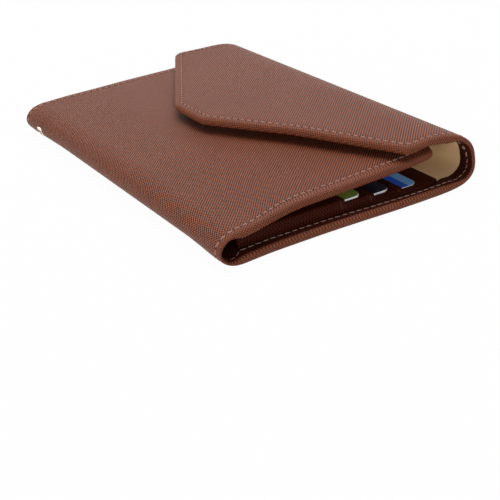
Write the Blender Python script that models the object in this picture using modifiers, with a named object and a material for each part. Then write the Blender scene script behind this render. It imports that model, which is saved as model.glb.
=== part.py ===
"""Travel wallet in saffiano leather.

A back panel carries three cascading card slots. A thin fold on the left joins it to the front
panel, which holds the passport pocket, and a deep fold on the right joins it to an envelope flap
that closes over the front. Each fold is a sleeve of leather and lining that turns about one axis
at the back panel and another at the panel it carries.

Metres, +Z up. X runs from the left fold to the right fold, Y along the folds, and the origin is
on the table under the middle of the wallet.
"""
import math

import bmesh
import bpy
from mathutils import Matrix, Vector

# Overall size
WALLET_WIDTH = 0.112
WALLET_LENGTH = 0.164
LEFT_FOLD_HEIGHT = 0.0128
RIGHT_FOLD_HEIGHT = 0.0217

# Folds: each side of a fold is a quarter ellipse
LEFT_FOLD_REACH = 0.010
RIGHT_FOLD_REACH = 0.020
RIGHT_FOLD_BELLY_SHARE = 0.4425
RIGHT_SPINE_REACH = 0.0116
FOLD_GAP = 0.0004
FOLD_STEPS = 12
FLANK_STEPS = 4

# Plies, from the outside in
COVER_SKIN = 0.0011
PLY_GAP = 0.00015
BORDER_WIDTH = 0.0042
BORDER_GAP = 0.0003
EDGE_THICKNESS = 0.0032
SPINE_THICKNESS = 0.0027
BACK_BOARD_THICKNESS = 0.0004
CARD_PANEL_THICKNESS = 0.0005
FRONT_BOARD_THICKNESS = 0.0010
FLAP_THICKNESS = 0.0038
FLAP_BOARD_THICKNESS = 0.0015
EDGE_ROUNDING = 0.0004

# Front panel; its free end lies this far inside the right fold
FRONT_END_INSET = 0.015
FRONT_CORNER = 0.008
FRONT_BOW_SHARES = ((0.0, 0.0), (0.14, 0.24), (0.31, 0.39), (0.52, 0.46), (0.80, 0.61), (1.0, 1.0))

# Passport pocket under the front panel, open this far short of its free end
POCKET_SETBACK = 0.015
POCKET_LEATHER = 0.0009
POCKET_DEPTH = 0.0006
POCKET_SEAM = 0.003
POCKET_END_INSET = 0.0025

# Flap, measured from the right fold, from the ends of the wallet and from the front panel
FLAP_LENGTH = 0.072
FLAP_TIP_WIDTH = 0.026
FLAP_SHOULDER_LENGTH = 0.033
FLAP_END_INSET = 0.0008
FLAP_CLEARANCE = 0.0018
FLAP_TIP_CORNER = 0.009
FLAP_SHOULDER_CORNER = 0.012
CORNER_STEPS = 7

# Cards and their slots: the top card lies against the left fold, the lowest one short of the right
CARD_LENGTH = 0.0856
CARD_WIDTH = 0.05398
CARD_THICKNESS = 0.00076
CARD_CORNER = 0.0032
CARD_SHOWING = 0.0084
CARD_CLEARANCE = 0.0005
LAST_CARD_INSET = 0.0205
SLOT_COUNT = 3
SLOT_LEATHER = 0.0005
SLOT_SEAM = 0.0021

# Magnetic closure: a disc in the flap's board and one below it in the front panel's board
MAGNET_RADIUS = 0.006
MAGNET_THICKNESS = 0.0008
MAGNET_SETBACK = 0.014
MAGNET_CLEARANCE = 0.0003
MAGNET_STEPS = 32

# Strap eyelet low on the left fold, measured from the far end of the wallet
EYELET_END_INSET = 0.0115
EYELET_TILT = math.radians(50.0)
EYELET_FLANGE_RADIUS = 0.0030
EYELET_FLANGE_THICKNESS = 0.0005
EYELET_PROUD = 0.00015
EYELET_BORE_RADIUS = 0.0015
EYELET_WALL = 0.0004
EYELET_LIP_RADIUS = 0.0026
EYELET_LIP_THICKNESS = 0.0004
EYELET_LIP_DEPTH = 0.0019
EYELET_CLEARANCE = 0.0003
EYELET_STEPS = 32

# How far a cutter runs past what it cuts, and how far the hollow for a board and lining does
OVERRUN = 0.002
RECESS_OVERRUN = 0.0003

# Places worked out from the sizes above
LEFT = -WALLET_WIDTH / 2
RIGHT = WALLET_WIDTH / 2
NEAR = -WALLET_LENGTH / 2
FAR = WALLET_LENGTH / 2
LEFT_RISE = LEFT_FOLD_HEIGHT / 2
RIGHT_BELLY = RIGHT_FOLD_HEIGHT * RIGHT_FOLD_BELLY_SHARE
RIGHT_BROW = RIGHT_FOLD_HEIGHT - RIGHT_BELLY
PANEL_START = LEFT + LEFT_FOLD_REACH + FOLD_GAP
SPINE_START = RIGHT - RIGHT_SPINE_REACH
PANEL_END = SPINE_START - FOLD_GAP
CARD_PANEL_TOP = COVER_SKIN + BACK_BOARD_THICKNESS + CARD_PANEL_THICKNESS + 2 * PLY_GAP
SLOT_CAVITY = CARD_THICKNESS + PLY_GAP
SLOT_STEP = PLY_GAP + SLOT_CAVITY + SLOT_LEATHER
FIRST_CARD_LEFT = PANEL_START + SLOT_LEATHER + PLY_GAP
LAST_CARD_LEFT = RIGHT - LAST_CARD_INSET - CARD_WIDTH
SLOT_PITCH = (LAST_CARD_LEFT - FIRST_CARD_LEFT) / (SLOT_COUNT - 1)
FRONT_END = RIGHT - FRONT_END_INSET
FRONT_FREE_HEIGHT = RIGHT_FOLD_HEIGHT - FLAP_THICKNESS - FLAP_CLEARANCE
POCKET_EDGE = FRONT_END - POCKET_SETBACK
FLAP_TIP = RIGHT - FLAP_LENGTH
FLAP_SHOULDER = RIGHT - FLAP_SHOULDER_LENGTH
MAGNET_X = FLAP_TIP + MAGNET_SETBACK

FINISHES = {
    "leather": ((0.215, 0.094, 0.063), 0.45, 0.0),
    "inner_leather": ((0.110, 0.048, 0.033), 0.55, 0.0),
    "lining": ((0.560, 0.420, 0.290), 0.80, 0.0),
    "board": ((0.520, 0.480, 0.400), 0.90, 0.0),
    "brass": ((0.820, 0.690, 0.560), 0.25, 1.0),
    "magnet": ((0.550, 0.560, 0.580), 0.35, 1.0),
    "green_card": ((0.290, 0.420, 0.060), 0.35, 0.0),
    "dark_card": ((0.015, 0.017, 0.030), 0.35, 0.0),
    "blue_card": ((0.045, 0.170, 0.450), 0.35, 0.0),
}
CARD_FINISHES = ("green_card", "dark_card", "blue_card")


def clear_scene():
    """Remove every object that the file holds."""
    for item in list(bpy.data.objects):
        bpy.data.objects.remove(item, do_unlink=True)


def collection(name):
    """Return a collection linked to the scene."""
    group = bpy.data.collections.new(name)
    bpy.context.scene.collection.children.link(group)
    return group


def finish_material(name, finish):
    """Return a Principled material for one node."""
    colour, roughness, metallic = FINISHES[finish]
    material = bpy.data.materials.new(name)
    material.use_nodes = True
    shader = material.node_tree.nodes["Principled BSDF"]
    shader.inputs["Base Color"].default_value = (*colour, 1.0)
    shader.inputs["Roughness"].default_value = roughness
    shader.inputs["Metallic"].default_value = metallic
    material.diffuse_color = (*colour, 1.0)
    return material


def fold_arc(extreme_x, inward, mid_z, reach, rise, from_depth, to_depth, steps=FOLD_STEPS):
    """Points along one side of a fold, an arc of an ellipse.

    A depth is measured from the fold's extreme. inward is +1 where that is towards +X and -1
    where it is towards -X. rise is negative below mid_z.
    """
    from_turn = math.acos(1.0 - from_depth / reach)
    to_turn = math.acos(1.0 - to_depth / reach)
    points = []
    for step in range(steps + 1):
        turn = from_turn + (to_turn - from_turn) * step / steps
        points.append((extreme_x + inward * reach * (1.0 - math.cos(turn)), mid_z + rise * math.sin(turn)))
    return points


def quarter_length(reach, rise):
    """Arc length of a quarter ellipse."""
    spread = ((reach - rise) / (reach + rise)) ** 2
    series = 1 + 3 * spread / (10 + math.sqrt(4 - 3 * spread))
    return math.pi * (reach + rise) * series / 4


def pivot_inset(reach, rise):
    """How far a fold's axis lies inside its outer skin, so that the skin unrolls to its length."""
    return (reach + rise - quarter_length(reach, rise)) / 2


def offset_path(path, distance):
    """Move a path to its left side by a distance, keeping its corners true."""
    moved = []
    for index, point in enumerate(path):
        before = Vector(path[max(index - 1, 0)])
        after = Vector(path[min(index + 1, len(path) - 1)])
        here = Vector(point)
        runs = [run.normalized() for run in (here - before, after - here) if run.length > 0]
        along = sum(runs, Vector((0.0, 0.0))).normalized()
        spread = along.dot(runs[0])
        normal = Vector((-along.y, along.x))
        moved.append(tuple(here + normal * (distance / spread)))
    return moved


def lengthened(path, extra):
    """Run both ends of a path on, straight."""
    first, second = Vector(path[0]), Vector(path[1])
    last, previous = Vector(path[-1]), Vector(path[-2])
    head = first + (first - second).normalized() * extra
    tail = last + (last - previous).normalized() * extra
    return [tuple(head), *path[1:-1], tuple(tail)]


def ply_outline(path, near, far):
    """Closed outline of a ply that lies between two distances from the outer skin."""
    return offset_path(path, near) + offset_path(path, far)[::-1]


def rounded(corners):
    """Outline with arcs at its corners; each corner is (x, y, radius)."""
    points = []
    count = len(corners)
    for index, (x, y, radius) in enumerate(corners):
        here = Vector((x, y))
        if radius == 0.0:
            points.append((x, y))
            continue
        to_last = (Vector(corners[index - 1][:2]) - here).normalized()
        to_next = (Vector(corners[(index + 1) % count][:2]) - here).normalized()
        half = to_last.angle(to_next) / 2
        centre = here + (to_last + to_next).normalized() * (radius / math.sin(half))
        start = here + to_last * (radius / math.tan(half)) - centre
        end = here + to_next * (radius / math.tan(half)) - centre
        sweep = start.angle_signed(end)
        for step in range(CORNER_STEPS + 1):
            spoke = start.copy()
            spoke.rotate(Matrix.Rotation(-sweep * step / CORNER_STEPS, 2))
            points.append(tuple(centre + spoke))
    return points


def rectangle(low_x, low_y, high_x, high_y, radius=0.0):
    """Corners of an upright rectangle, for rounded() and inset_corners()."""
    spots = ((low_x, low_y), (high_x, low_y), (high_x, high_y), (low_x, high_y))
    return [(x, y, radius) for x, y in spots]


def inset_corners(corners, insets):
    """Move each edge of an outline inwards; edge i runs from corner i to the next one."""
    count = len(corners)
    lines = []
    for index in range(count):
        start = Vector(corners[index][:2])
        end = Vector(corners[(index + 1) % count][:2])
        along = (end - start).normalized()
        inward = Vector((-along.y, along.x))
        lines.append((start + inward * insets[index], along))
    moved = []
    for index, (_, _, radius) in enumerate(corners):
        point_a, along_a = lines[index - 1]
        point_b, along_b = lines[index]
        cross = along_a.x * along_b.y - along_a.y * along_b.x
        gap = point_b - point_a
        travel = (gap.x * along_b.y - gap.y * along_b.x) / cross
        meet = point_a + along_a * travel
        shrink = max(insets[index - 1], insets[index])
        moved.append((meet.x, meet.y, max(radius - shrink, 0.0)))
    return moved


def height_on(path, x):
    """Height of a path at a place along X."""
    for (start_x, start_z), (end_x, end_z) in zip(path, path[1:]):
        if min(start_x, end_x) <= x <= max(start_x, end_x):
            return start_z + (end_z - start_z) * (x - start_x) / (end_x - start_x)
    return path[-1][1]


def welded(mesh):
    """Merge a mesh's doubled points and face it outwards."""
    shape = bmesh.new()
    shape.from_mesh(mesh)
    bmesh.ops.remove_doubles(shape, verts=shape.verts, dist=PLY_GAP / 10)
    bmesh.ops.recalc_face_normals(shape, faces=shape.faces)
    shape.to_mesh(mesh)
    shape.free()
    return mesh


def flat_curve(name, outline, thickness):
    """Mesh of a filled outline, thickness deep and centred on its plane."""
    curve = bpy.data.curves.new(name, "CURVE")
    curve.dimensions = "2D"
    curve.fill_mode = "BOTH"
    curve.extrude = thickness / 2
    spline = curve.splines.new("POLY")
    spline.points.add(len(outline) - 1)
    for point, (across, up) in zip(spline.points, outline):
        point.co = (across, up, 0.0, 1.0)
    spline.use_cyclic_u = True
    carrier = bpy.data.objects.new(name, curve)
    bpy.context.scene.collection.objects.link(carrier)
    bpy.context.view_layer.update()
    evaluated = carrier.evaluated_get(bpy.context.evaluated_depsgraph_get())
    mesh = bpy.data.meshes.new_from_object(evaluated)
    bpy.data.objects.remove(carrier, do_unlink=True)
    bpy.data.curves.remove(curve)
    return welded(mesh)


def profile_mesh(name, outline, low_y, high_y):
    """Mesh of an X-Z outline that runs along Y."""
    mesh = flat_curve(name, outline, high_y - low_y)
    upright = Matrix.Rotation(math.pi / 2, 4, "X")
    mesh.transform(Matrix.Translation((0.0, (low_y + high_y) / 2, 0.0)) @ upright)
    return mesh


def plate_mesh(name, outline, low_z, high_z):
    """Mesh of an X-Y outline that runs along Z."""
    mesh = flat_curve(name, outline, high_z - low_z)
    mesh.transform(Matrix.Translation((0.0, 0.0, (low_z + high_z) / 2)))
    return mesh


def turned_mesh(name, profile):
    """Mesh of a closed profile of (radius, height) points turned about Z."""
    ring = bmesh.new()
    corners = [ring.verts.new((radius, 0.0, height)) for radius, height in profile]
    for start, end in zip(corners, corners[1:] + corners[:1]):
        if start.co.x > 0.0 or end.co.x > 0.0:
            ring.edges.new((start, end))
    outline = bpy.data.meshes.new(name)
    ring.to_mesh(outline)
    ring.free()
    carrier = bpy.data.objects.new(name, outline)
    bpy.context.scene.collection.objects.link(carrier)
    screw = carrier.modifiers.new("turn", "SCREW")
    screw.axis = "Z"
    screw.steps = EYELET_STEPS
    screw.render_steps = EYELET_STEPS
    screw.use_merge_vertices = True
    screw.merge_threshold = PLY_GAP / 10
    bpy.context.view_layer.update()
    evaluated = carrier.evaluated_get(bpy.context.evaluated_depsgraph_get())
    mesh = bpy.data.meshes.new_from_object(evaluated)
    bpy.data.objects.remove(carrier, do_unlink=True)
    bpy.data.meshes.remove(outline)
    return welded(mesh)


def disc_mesh(name, radius, low, high):
    """Mesh of a disc that stands between two points on its upright axis."""
    shape = bmesh.new()
    bmesh.ops.create_cone(
        shape, cap_ends=True, segments=MAGNET_STEPS, radius1=radius, radius2=radius, depth=high.z - low.z
    )
    bmesh.ops.translate(shape, vec=(low + high) / 2, verts=shape.verts)
    mesh = bpy.data.meshes.new(name)
    shape.to_mesh(mesh)
    shape.free()
    return mesh


def box_mesh(name, low, high):
    """Mesh of a box between two corners."""
    size = Vector(high) - Vector(low)
    middle = (Vector(high) + Vector(low)) / 2
    shape = bmesh.new()
    bmesh.ops.create_cube(shape, size=1.0)
    bmesh.ops.scale(shape, vec=size, verts=shape.verts)
    bmesh.ops.translate(shape, vec=middle, verts=shape.verts)
    mesh = bpy.data.meshes.new(name)
    shape.to_mesh(mesh)
    shape.free()
    return mesh


class Builder:
    """Keeps the part's objects and its cutters in their own collections."""

    def __init__(self):
        self.parts = collection("travel_wallet")
        self.cutters = collection("cutters")

    def axis(self, name, place):
        """Empty on a fold's axis, which carries a moving body."""
        empty = bpy.data.objects.new(name, None)
        empty.location = place
        self.parts.objects.link(empty)
        return empty

    def node(self, name, mesh, finish, parent=None, smooth=False):
        """Object for one sub-part, with its origin on its parent's axis."""
        item = bpy.data.objects.new(name, mesh)
        self.parts.objects.link(item)
        mesh.materials.clear()
        mesh.materials.append(finish_material(name, finish))
        if parent is not None:
            mesh.transform(Matrix.Translation(-parent.location))
            item.parent = parent
        if smooth:
            mesh.shade_smooth()
            mesh.set_sharp_from_angle(angle=math.radians(35.0))
        return item

    def cutter(self, name, mesh):
        """Hidden solid that a Boolean reads."""
        item = bpy.data.objects.new(name, mesh)
        self.cutters.objects.link(item)
        item.hide_render = True
        item.display_type = "WIRE"
        return item

    def shape(self, item, tool, operation="DIFFERENCE"):
        """Cut an object with a cutter, or keep what lies inside it."""
        change = item.modifiers.new(tool.name, "BOOLEAN")
        change.operation = operation
        change.object = tool
        change.solver = "EXACT"


def round_edges(item):
    """Roll the hard edges of a leather piece."""
    bevel = item.modifiers.new("rolled_edge", "BEVEL")
    bevel.width = EDGE_ROUNDING
    bevel.segments = 2
    bevel.limit_method = "ANGLE"
    bevel.angle_limit = math.radians(50.0)
    bevel.use_clamp_overlap = True


def left_fold_path():
    """Outer skin of the left fold, from the front panel round to the back panel."""
    reach = LEFT_FOLD_REACH
    upper = fold_arc(LEFT, 1, LEFT_RISE, reach, LEFT_RISE, reach, 0.0)
    lower = fold_arc(LEFT, 1, LEFT_RISE, reach, -LEFT_RISE, 0.0, reach)
    return upper[:-1] + lower


def right_fold_path():
    """Outer skin of the right fold's sleeve, from the back panel round to the flap."""
    lower = fold_arc(RIGHT, -1, RIGHT_BELLY, RIGHT_FOLD_REACH, -RIGHT_BELLY, RIGHT_SPINE_REACH, 0.0)
    upper = fold_arc(RIGHT, -1, RIGHT_BELLY, RIGHT_FOLD_REACH, RIGHT_BROW, 0.0, RIGHT_SPINE_REACH)
    return lower[:-1] + upper


def back_path():
    """Outer skin of the back panel, from the left fold to where the right fold takes over."""
    reach = RIGHT_FOLD_REACH
    end = RIGHT - PANEL_END
    flank = fold_arc(RIGHT, -1, RIGHT_BELLY, reach, -RIGHT_BELLY, reach, end, FLANK_STEPS)
    return [(PANEL_START, 0.0), *flank]


def flap_path():
    """Outer skin of the flap, from the right fold to its tip."""
    reach = RIGHT_FOLD_REACH
    end = RIGHT - PANEL_END
    flank = fold_arc(RIGHT, -1, RIGHT_BELLY, reach, RIGHT_BROW, end, reach, FLANK_STEPS)
    return [*flank, (FLAP_TIP, RIGHT_FOLD_HEIGHT)]


def front_path():
    """Outer skin of the front panel, from its free end to the left fold."""
    run = FRONT_END - PANEL_START
    rise = FRONT_FREE_HEIGHT - LEFT_FOLD_HEIGHT
    points = [(PANEL_START + run * along, LEFT_FOLD_HEIGHT + rise * up) for along, up in FRONT_BOW_SHARES]
    return points[::-1]


def front_plan():
    """Plan outline of the front panel; its last edge lies at the left fold."""
    return [
        (PANEL_START - OVERRUN, NEAR, 0.0),
        (FRONT_END, NEAR, FRONT_CORNER),
        (FRONT_END, FAR, FRONT_CORNER),
        (PANEL_START - OVERRUN, FAR, 0.0),
    ]


def flap_plan():
    """Plan outline of the flap; its last edge lies at the right fold."""
    half = WALLET_LENGTH / 2 - FLAP_END_INSET
    return [
        (PANEL_END + OVERRUN, half, 0.0),
        (FLAP_SHOULDER, half, FLAP_SHOULDER_CORNER),
        (FLAP_TIP, FLAP_TIP_WIDTH / 2, FLAP_TIP_CORNER),
        (FLAP_TIP, -FLAP_TIP_WIDTH / 2, FLAP_TIP_CORNER),
        (FLAP_SHOULDER, -half, FLAP_SHOULDER_CORNER),
        (PANEL_END + OVERRUN, -half, 0.0),
    ]


class Wallet:
    """Builds the wallet's sub-parts body by body."""

    def __init__(self, builder):
        self.make = builder
        inset_low = pivot_inset(LEFT_FOLD_REACH, LEFT_RISE)
        inset_belly = pivot_inset(RIGHT_FOLD_REACH, RIGHT_BELLY)
        inset_brow = pivot_inset(RIGHT_FOLD_REACH, RIGHT_BROW)
        axis = builder.axis
        self.left_axis = axis("left_spine_axis", (LEFT + inset_low, 0.0, inset_low))
        self.front_axis = axis("front_axis", (LEFT + inset_low, 0.0, LEFT_FOLD_HEIGHT - inset_low))
        self.right_axis = axis("right_spine_axis", (RIGHT - inset_belly, 0.0, inset_belly))
        self.flap_axis = axis("flap_axis", (RIGHT - inset_brow, 0.0, RIGHT_FOLD_HEIGHT - inset_brow))

    def ply(self, name, path, near, far, finish, parent=None, low_y=NEAR, high_y=FAR):
        """One ply of a panel or a fold, between two distances from the outer skin."""
        mesh = profile_mesh(name, ply_outline(path, near, far), low_y, high_y)
        return self.make.node(name, mesh, finish, parent, smooth=True)

    def trim_to_plan(self, item, plan):
        """Keep what lies inside a plan outline."""
        tall = RIGHT_FOLD_HEIGHT + OVERRUN
        tool = self.make.cutter(f"{item.name}_plan", plate_mesh(item.name, rounded(plan), -OVERRUN, tall))
        self.make.shape(item, tool, "INTERSECT")

    def recess(self, item, path, depth, plan=None, low_y=NEAR, high_y=FAR):
        """Cut the hollow that holds a cover's board and lining."""
        outline = ply_outline(lengthened(path, OVERRUN), COVER_SKIN, depth + RECESS_OVERRUN)
        tool = self.make.cutter(f"{item.name}_recess", profile_mesh(item.name, outline, low_y, high_y))
        if plan:
            self.trim_to_plan(tool, plan)
        self.make.shape(item, tool)

    def back(self):
        """Back panel: cover with turned ends, board and the leather that the slots are sewn to."""
        path = back_path()
        cover = self.ply("back_cover", path, 0.0, EDGE_THICKNESS, "leather")
        low_y, high_y = NEAR + BORDER_WIDTH, FAR - BORDER_WIDTH
        self.recess(cover, path, EDGE_THICKNESS, low_y=low_y, high_y=high_y)
        round_edges(cover)
        low_y, high_y = low_y + BORDER_GAP, high_y - BORDER_GAP
        board_near = COVER_SKIN + PLY_GAP
        board_far = board_near + BACK_BOARD_THICKNESS
        self.ply("back_board", path, board_near, board_far, "board", low_y=low_y, high_y=high_y)
        panel_near = board_far + PLY_GAP
        self.ply(
            "card_panel", path, panel_near, CARD_PANEL_TOP, "inner_leather", low_y=low_y, high_y=high_y
        )

    def card_place(self, index):
        """Left edge and underside of a card, counted from the top slot."""
        under = CARD_PANEL_TOP + (SLOT_COUNT - 1 - index) * SLOT_STEP + PLY_GAP
        return FIRST_CARD_LEFT + index * SLOT_PITCH, under

    def slots(self):
        """Three slots that open towards the flap, each with a card and a spare pocket beyond it."""
        near = NEAR + BORDER_WIDTH + BORDER_GAP
        far = FAR - BORDER_WIDTH - BORDER_GAP
        card_near = near + SLOT_SEAM + CARD_CLEARANCE
        card_far = card_near + CARD_LENGTH
        card_end = (near + SLOT_SEAM, card_far + CARD_CLEARANCE)
        spare_end = (card_far + CARD_CLEARANCE + SLOT_SEAM, far - SLOT_SEAM)
        for index in range(SLOT_COUNT):
            card_left, under = self.card_place(index)
            card_right = card_left + CARD_WIDTH
            edge = card_right - CARD_SHOWING
            roof = under + SLOT_CAVITY
            name = f"card_slot_{index + 1}"
            block = box_mesh(name, (PANEL_START, near, under), (edge, far, roof + SLOT_LEATHER))
            slot = self.make.node(name, block, "inner_leather")
            for label, (low_y, high_y) in (("card", card_end), ("spare", spare_end)):
                low = (card_left - PLY_GAP, low_y, under - OVERRUN)
                hollow = box_mesh(name, low, (edge + OVERRUN, high_y, roof))
                self.make.shape(slot, self.make.cutter(f"{name}_{label}_hollow", hollow))
            corners = rectangle(card_left, card_near, card_right, card_far, CARD_CORNER)
            card = f"card_{index + 1}"
            mesh = plate_mesh(card, rounded(corners), under, under + CARD_THICKNESS)
            self.make.node(card, mesh, CARD_FINISHES[index])

    def left_spine(self):
        """Thin fold: leather sleeve, leather lining and the strap eyelet."""
        path = left_fold_path()
        cover = self.ply("left_spine_cover", path, 0.0, SPINE_THICKNESS, "leather", self.left_axis)
        low_y, high_y = NEAR + BORDER_WIDTH, FAR - BORDER_WIDTH
        self.recess(cover, path, SPINE_THICKNESS, low_y=low_y, high_y=high_y)
        lining = self.ply(
            "left_spine_lining",
            path,
            COVER_SKIN + PLY_GAP,
            SPINE_THICKNESS,
            "inner_leather",
            self.left_axis,
            low_y + BORDER_GAP,
            high_y - BORDER_GAP,
        )
        self.eyelet(cover, lining)

    def eyelet(self, cover, lining):
        """Metal eyelet, turned about its own axis and clenched behind the leather."""
        turn = math.atan(math.tan(EYELET_TILT) * LEFT_RISE / LEFT_FOLD_REACH)
        seat_x = LEFT + LEFT_FOLD_REACH * (1.0 - math.cos(turn))
        seat_z = LEFT_RISE * (1.0 - math.sin(turn))
        outward = Vector((-math.cos(EYELET_TILT), 0.0, -math.sin(EYELET_TILT)))
        place = Matrix.Translation((seat_x, FAR - EYELET_END_INSET, seat_z))
        place = place @ outward.to_track_quat("Z", "Y").to_matrix().to_4x4()
        under = EYELET_PROUD - EYELET_FLANGE_THICKNESS
        barrel = EYELET_BORE_RADIUS + EYELET_WALL
        lip_top = -EYELET_LIP_DEPTH
        lip_end = lip_top - EYELET_LIP_THICKNESS
        profile = [
            (EYELET_BORE_RADIUS, EYELET_PROUD),
            (EYELET_FLANGE_RADIUS, EYELET_PROUD),
            (EYELET_FLANGE_RADIUS, under),
            (barrel, under),
            (barrel, lip_top),
            (EYELET_LIP_RADIUS, lip_top),
            (EYELET_LIP_RADIUS, lip_end),
            (EYELET_BORE_RADIUS, lip_end),
        ]
        mesh = turned_mesh("strap_eyelet", profile)
        mesh.transform(place)
        self.make.node("strap_eyelet", mesh, "brass", self.left_axis, smooth=True)
        seat = EYELET_FLANGE_RADIUS + EYELET_CLEARANCE
        hole = barrel + EYELET_CLEARANCE
        lip = EYELET_LIP_RADIUS + EYELET_CLEARANCE
        deep = SPINE_THICKNESS + OVERRUN
        for item, label, radius, top, depth in (
            (cover, "seat", seat, OVERRUN, under - PLY_GAP),
            (cover, "hole", hole, OVERRUN, -deep),
            (lining, "hole", lip, OVERRUN, -deep),
        ):
            outline = [(0.0, top), (radius, top), (radius, depth), (0.0, depth)]
            tool = turned_mesh(f"{item.name}_{label}", outline)
            tool.transform(place)
            self.make.shape(item, self.make.cutter(f"{item.name}_{label}", tool))

    def magnet(self, name, board, middle, parent):
        """Thin disc magnet in a round hole of the board that holds it."""
        half = Vector((0.0, 0.0, MAGNET_THICKNESS / 2))
        disc = disc_mesh(name, MAGNET_RADIUS, middle - half, middle + half)
        self.make.node(name, disc, "magnet", parent, smooth=True)
        reach = Vector((0.0, 0.0, OVERRUN))
        hole = disc_mesh(name, MAGNET_RADIUS + MAGNET_CLEARANCE, middle - reach, middle + reach)
        self.make.shape(board, self.make.cutter(f"{name}_hole", hole))

    def front(self):
        """Front panel: turned-edge cover, board with its magnet, lining and passport pocket."""
        path = front_path()
        axis = self.front_axis
        cover = self.ply("front_cover", path, 0.0, EDGE_THICKNESS, "leather", axis)
        self.trim_to_plan(cover, front_plan())
        open_side = -OVERRUN
        rim = inset_corners(front_plan(), (BORDER_WIDTH, BORDER_WIDTH, BORDER_WIDTH, open_side))
        self.recess(cover, path, EDGE_THICKNESS, rim)
        round_edges(cover)
        gap = BORDER_WIDTH + BORDER_GAP
        inner = inset_corners(front_plan(), (gap, gap, gap, open_side))
        near = COVER_SKIN + PLY_GAP
        far = near + FRONT_BOARD_THICKNESS
        board = self.ply("front_board", path, near, far, "board", axis)
        self.trim_to_plan(board, inner)
        middle = Vector((MAGNET_X, 0.0, height_on(path, MAGNET_X) - (near + far) / 2))
        self.magnet("front_magnet", board, middle, axis)
        lining = self.ply("front_lining", path, far + PLY_GAP, EDGE_THICKNESS, "lining", axis)
        self.trim_to_plan(lining, inner)
        self.passport_pocket(path)

    def passport_pocket(self, path):
        """Pocket sewn under the front panel on three sides and open towards its free end."""
        name = "passport_pocket"
        near = EDGE_THICKNESS + PLY_GAP
        roof = near + POCKET_DEPTH
        low_y, high_y = NEAR + POCKET_END_INSET, FAR - POCKET_END_INSET
        pocket = self.ply(name, path, near, roof + POCKET_LEATHER, "inner_leather", self.front_axis)
        self.trim_to_plan(pocket, rectangle(PANEL_START - OVERRUN, low_y, POCKET_EDGE, high_y))
        low_y, high_y = low_y + POCKET_SEAM, high_y - POCKET_SEAM
        hollow = profile_mesh(name, ply_outline(path, near - OVERRUN, roof), low_y, high_y)
        tool = self.make.cutter(f"{name}_hollow", hollow)
        self.trim_to_plan(tool, rectangle(PANEL_START + POCKET_SEAM, NEAR, FRONT_END + OVERRUN, FAR))
        self.make.shape(pocket, tool)

    def right_spine(self):
        """Deep fold: leather sleeve and pale lining between its turned ends."""
        path = right_fold_path()
        axis = self.right_axis
        cover = self.ply("right_spine_cover", path, 0.0, SPINE_THICKNESS, "leather", axis)
        low_y, high_y = NEAR + BORDER_WIDTH, FAR - BORDER_WIDTH
        self.recess(cover, path, SPINE_THICKNESS, low_y=low_y, high_y=high_y)
        round_edges(cover)
        low_y, high_y = low_y + BORDER_GAP, high_y - BORDER_GAP
        near = COVER_SKIN + PLY_GAP
        self.ply("right_spine_lining", path, near, SPINE_THICKNESS, "lining", axis, low_y, high_y)

    def flap(self):
        """Envelope flap: turned-edge cover, board with its magnet and pale lining."""
        path = flap_path()
        axis = self.flap_axis
        cover = self.ply("flap_cover", path, 0.0, FLAP_THICKNESS, "leather", axis)
        self.trim_to_plan(cover, flap_plan())
        open_side = -OVERRUN
        edges = len(flap_plan()) - 1
        rim = inset_corners(flap_plan(), (*[BORDER_WIDTH] * edges, open_side))
        self.recess(cover, path, FLAP_THICKNESS, rim)
        round_edges(cover)
        inner = inset_corners(flap_plan(), (*[BORDER_WIDTH + BORDER_GAP] * edges, open_side))
        near = COVER_SKIN + PLY_GAP
        far = near + FLAP_BOARD_THICKNESS
        board = self.ply("flap_board", path, near, far, "board", axis)
        self.trim_to_plan(board, inner)
        middle = Vector((MAGNET_X, 0.0, RIGHT_FOLD_HEIGHT - (near + far) / 2))
        self.magnet("flap_magnet", board, middle, axis)
        lining = self.ply("flap_lining", path, far + PLY_GAP, FLAP_THICKNESS, "lining", axis)
        self.trim_to_plan(lining, inner)


def main():
    """Build the wallet."""
    clear_scene()
    wallet = Wallet(Builder())
    wallet.back()
    wallet.slots()
    wallet.left_spine()
    wallet.front()
    wallet.right_spine()
    wallet.flap()


main()
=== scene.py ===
"""Looks of the travel wallet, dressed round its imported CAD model.

The wallet's leather is one long sheet: front panel, thin left fold, back, deep right fold and
envelope flap. It is modelled flat, in unrolled coordinates, then wrapped along the wallet's outer
skin and cut into one piece for each joint, so that its grain, its stitching and its rolled edges
run on without a break. Linings, pockets and slots are made in the same way.

Metres, in the CAD's frame: +X runs from the left fold to the right fold, +Y along the folds to the
far end, +Z up.
"""
from __future__ import annotations

import logging
import math
from bisect import bisect_right
from dataclasses import dataclass, field
from enum import Enum
from functools import cache
from typing import Callable, Iterable, NamedTuple, Sequence

import bmesh
import bpy
import numpy as np
from bmesh.types import BMEdge, BMesh, BMFace, BMVert
from mathutils import Matrix, Vector, noise

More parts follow.
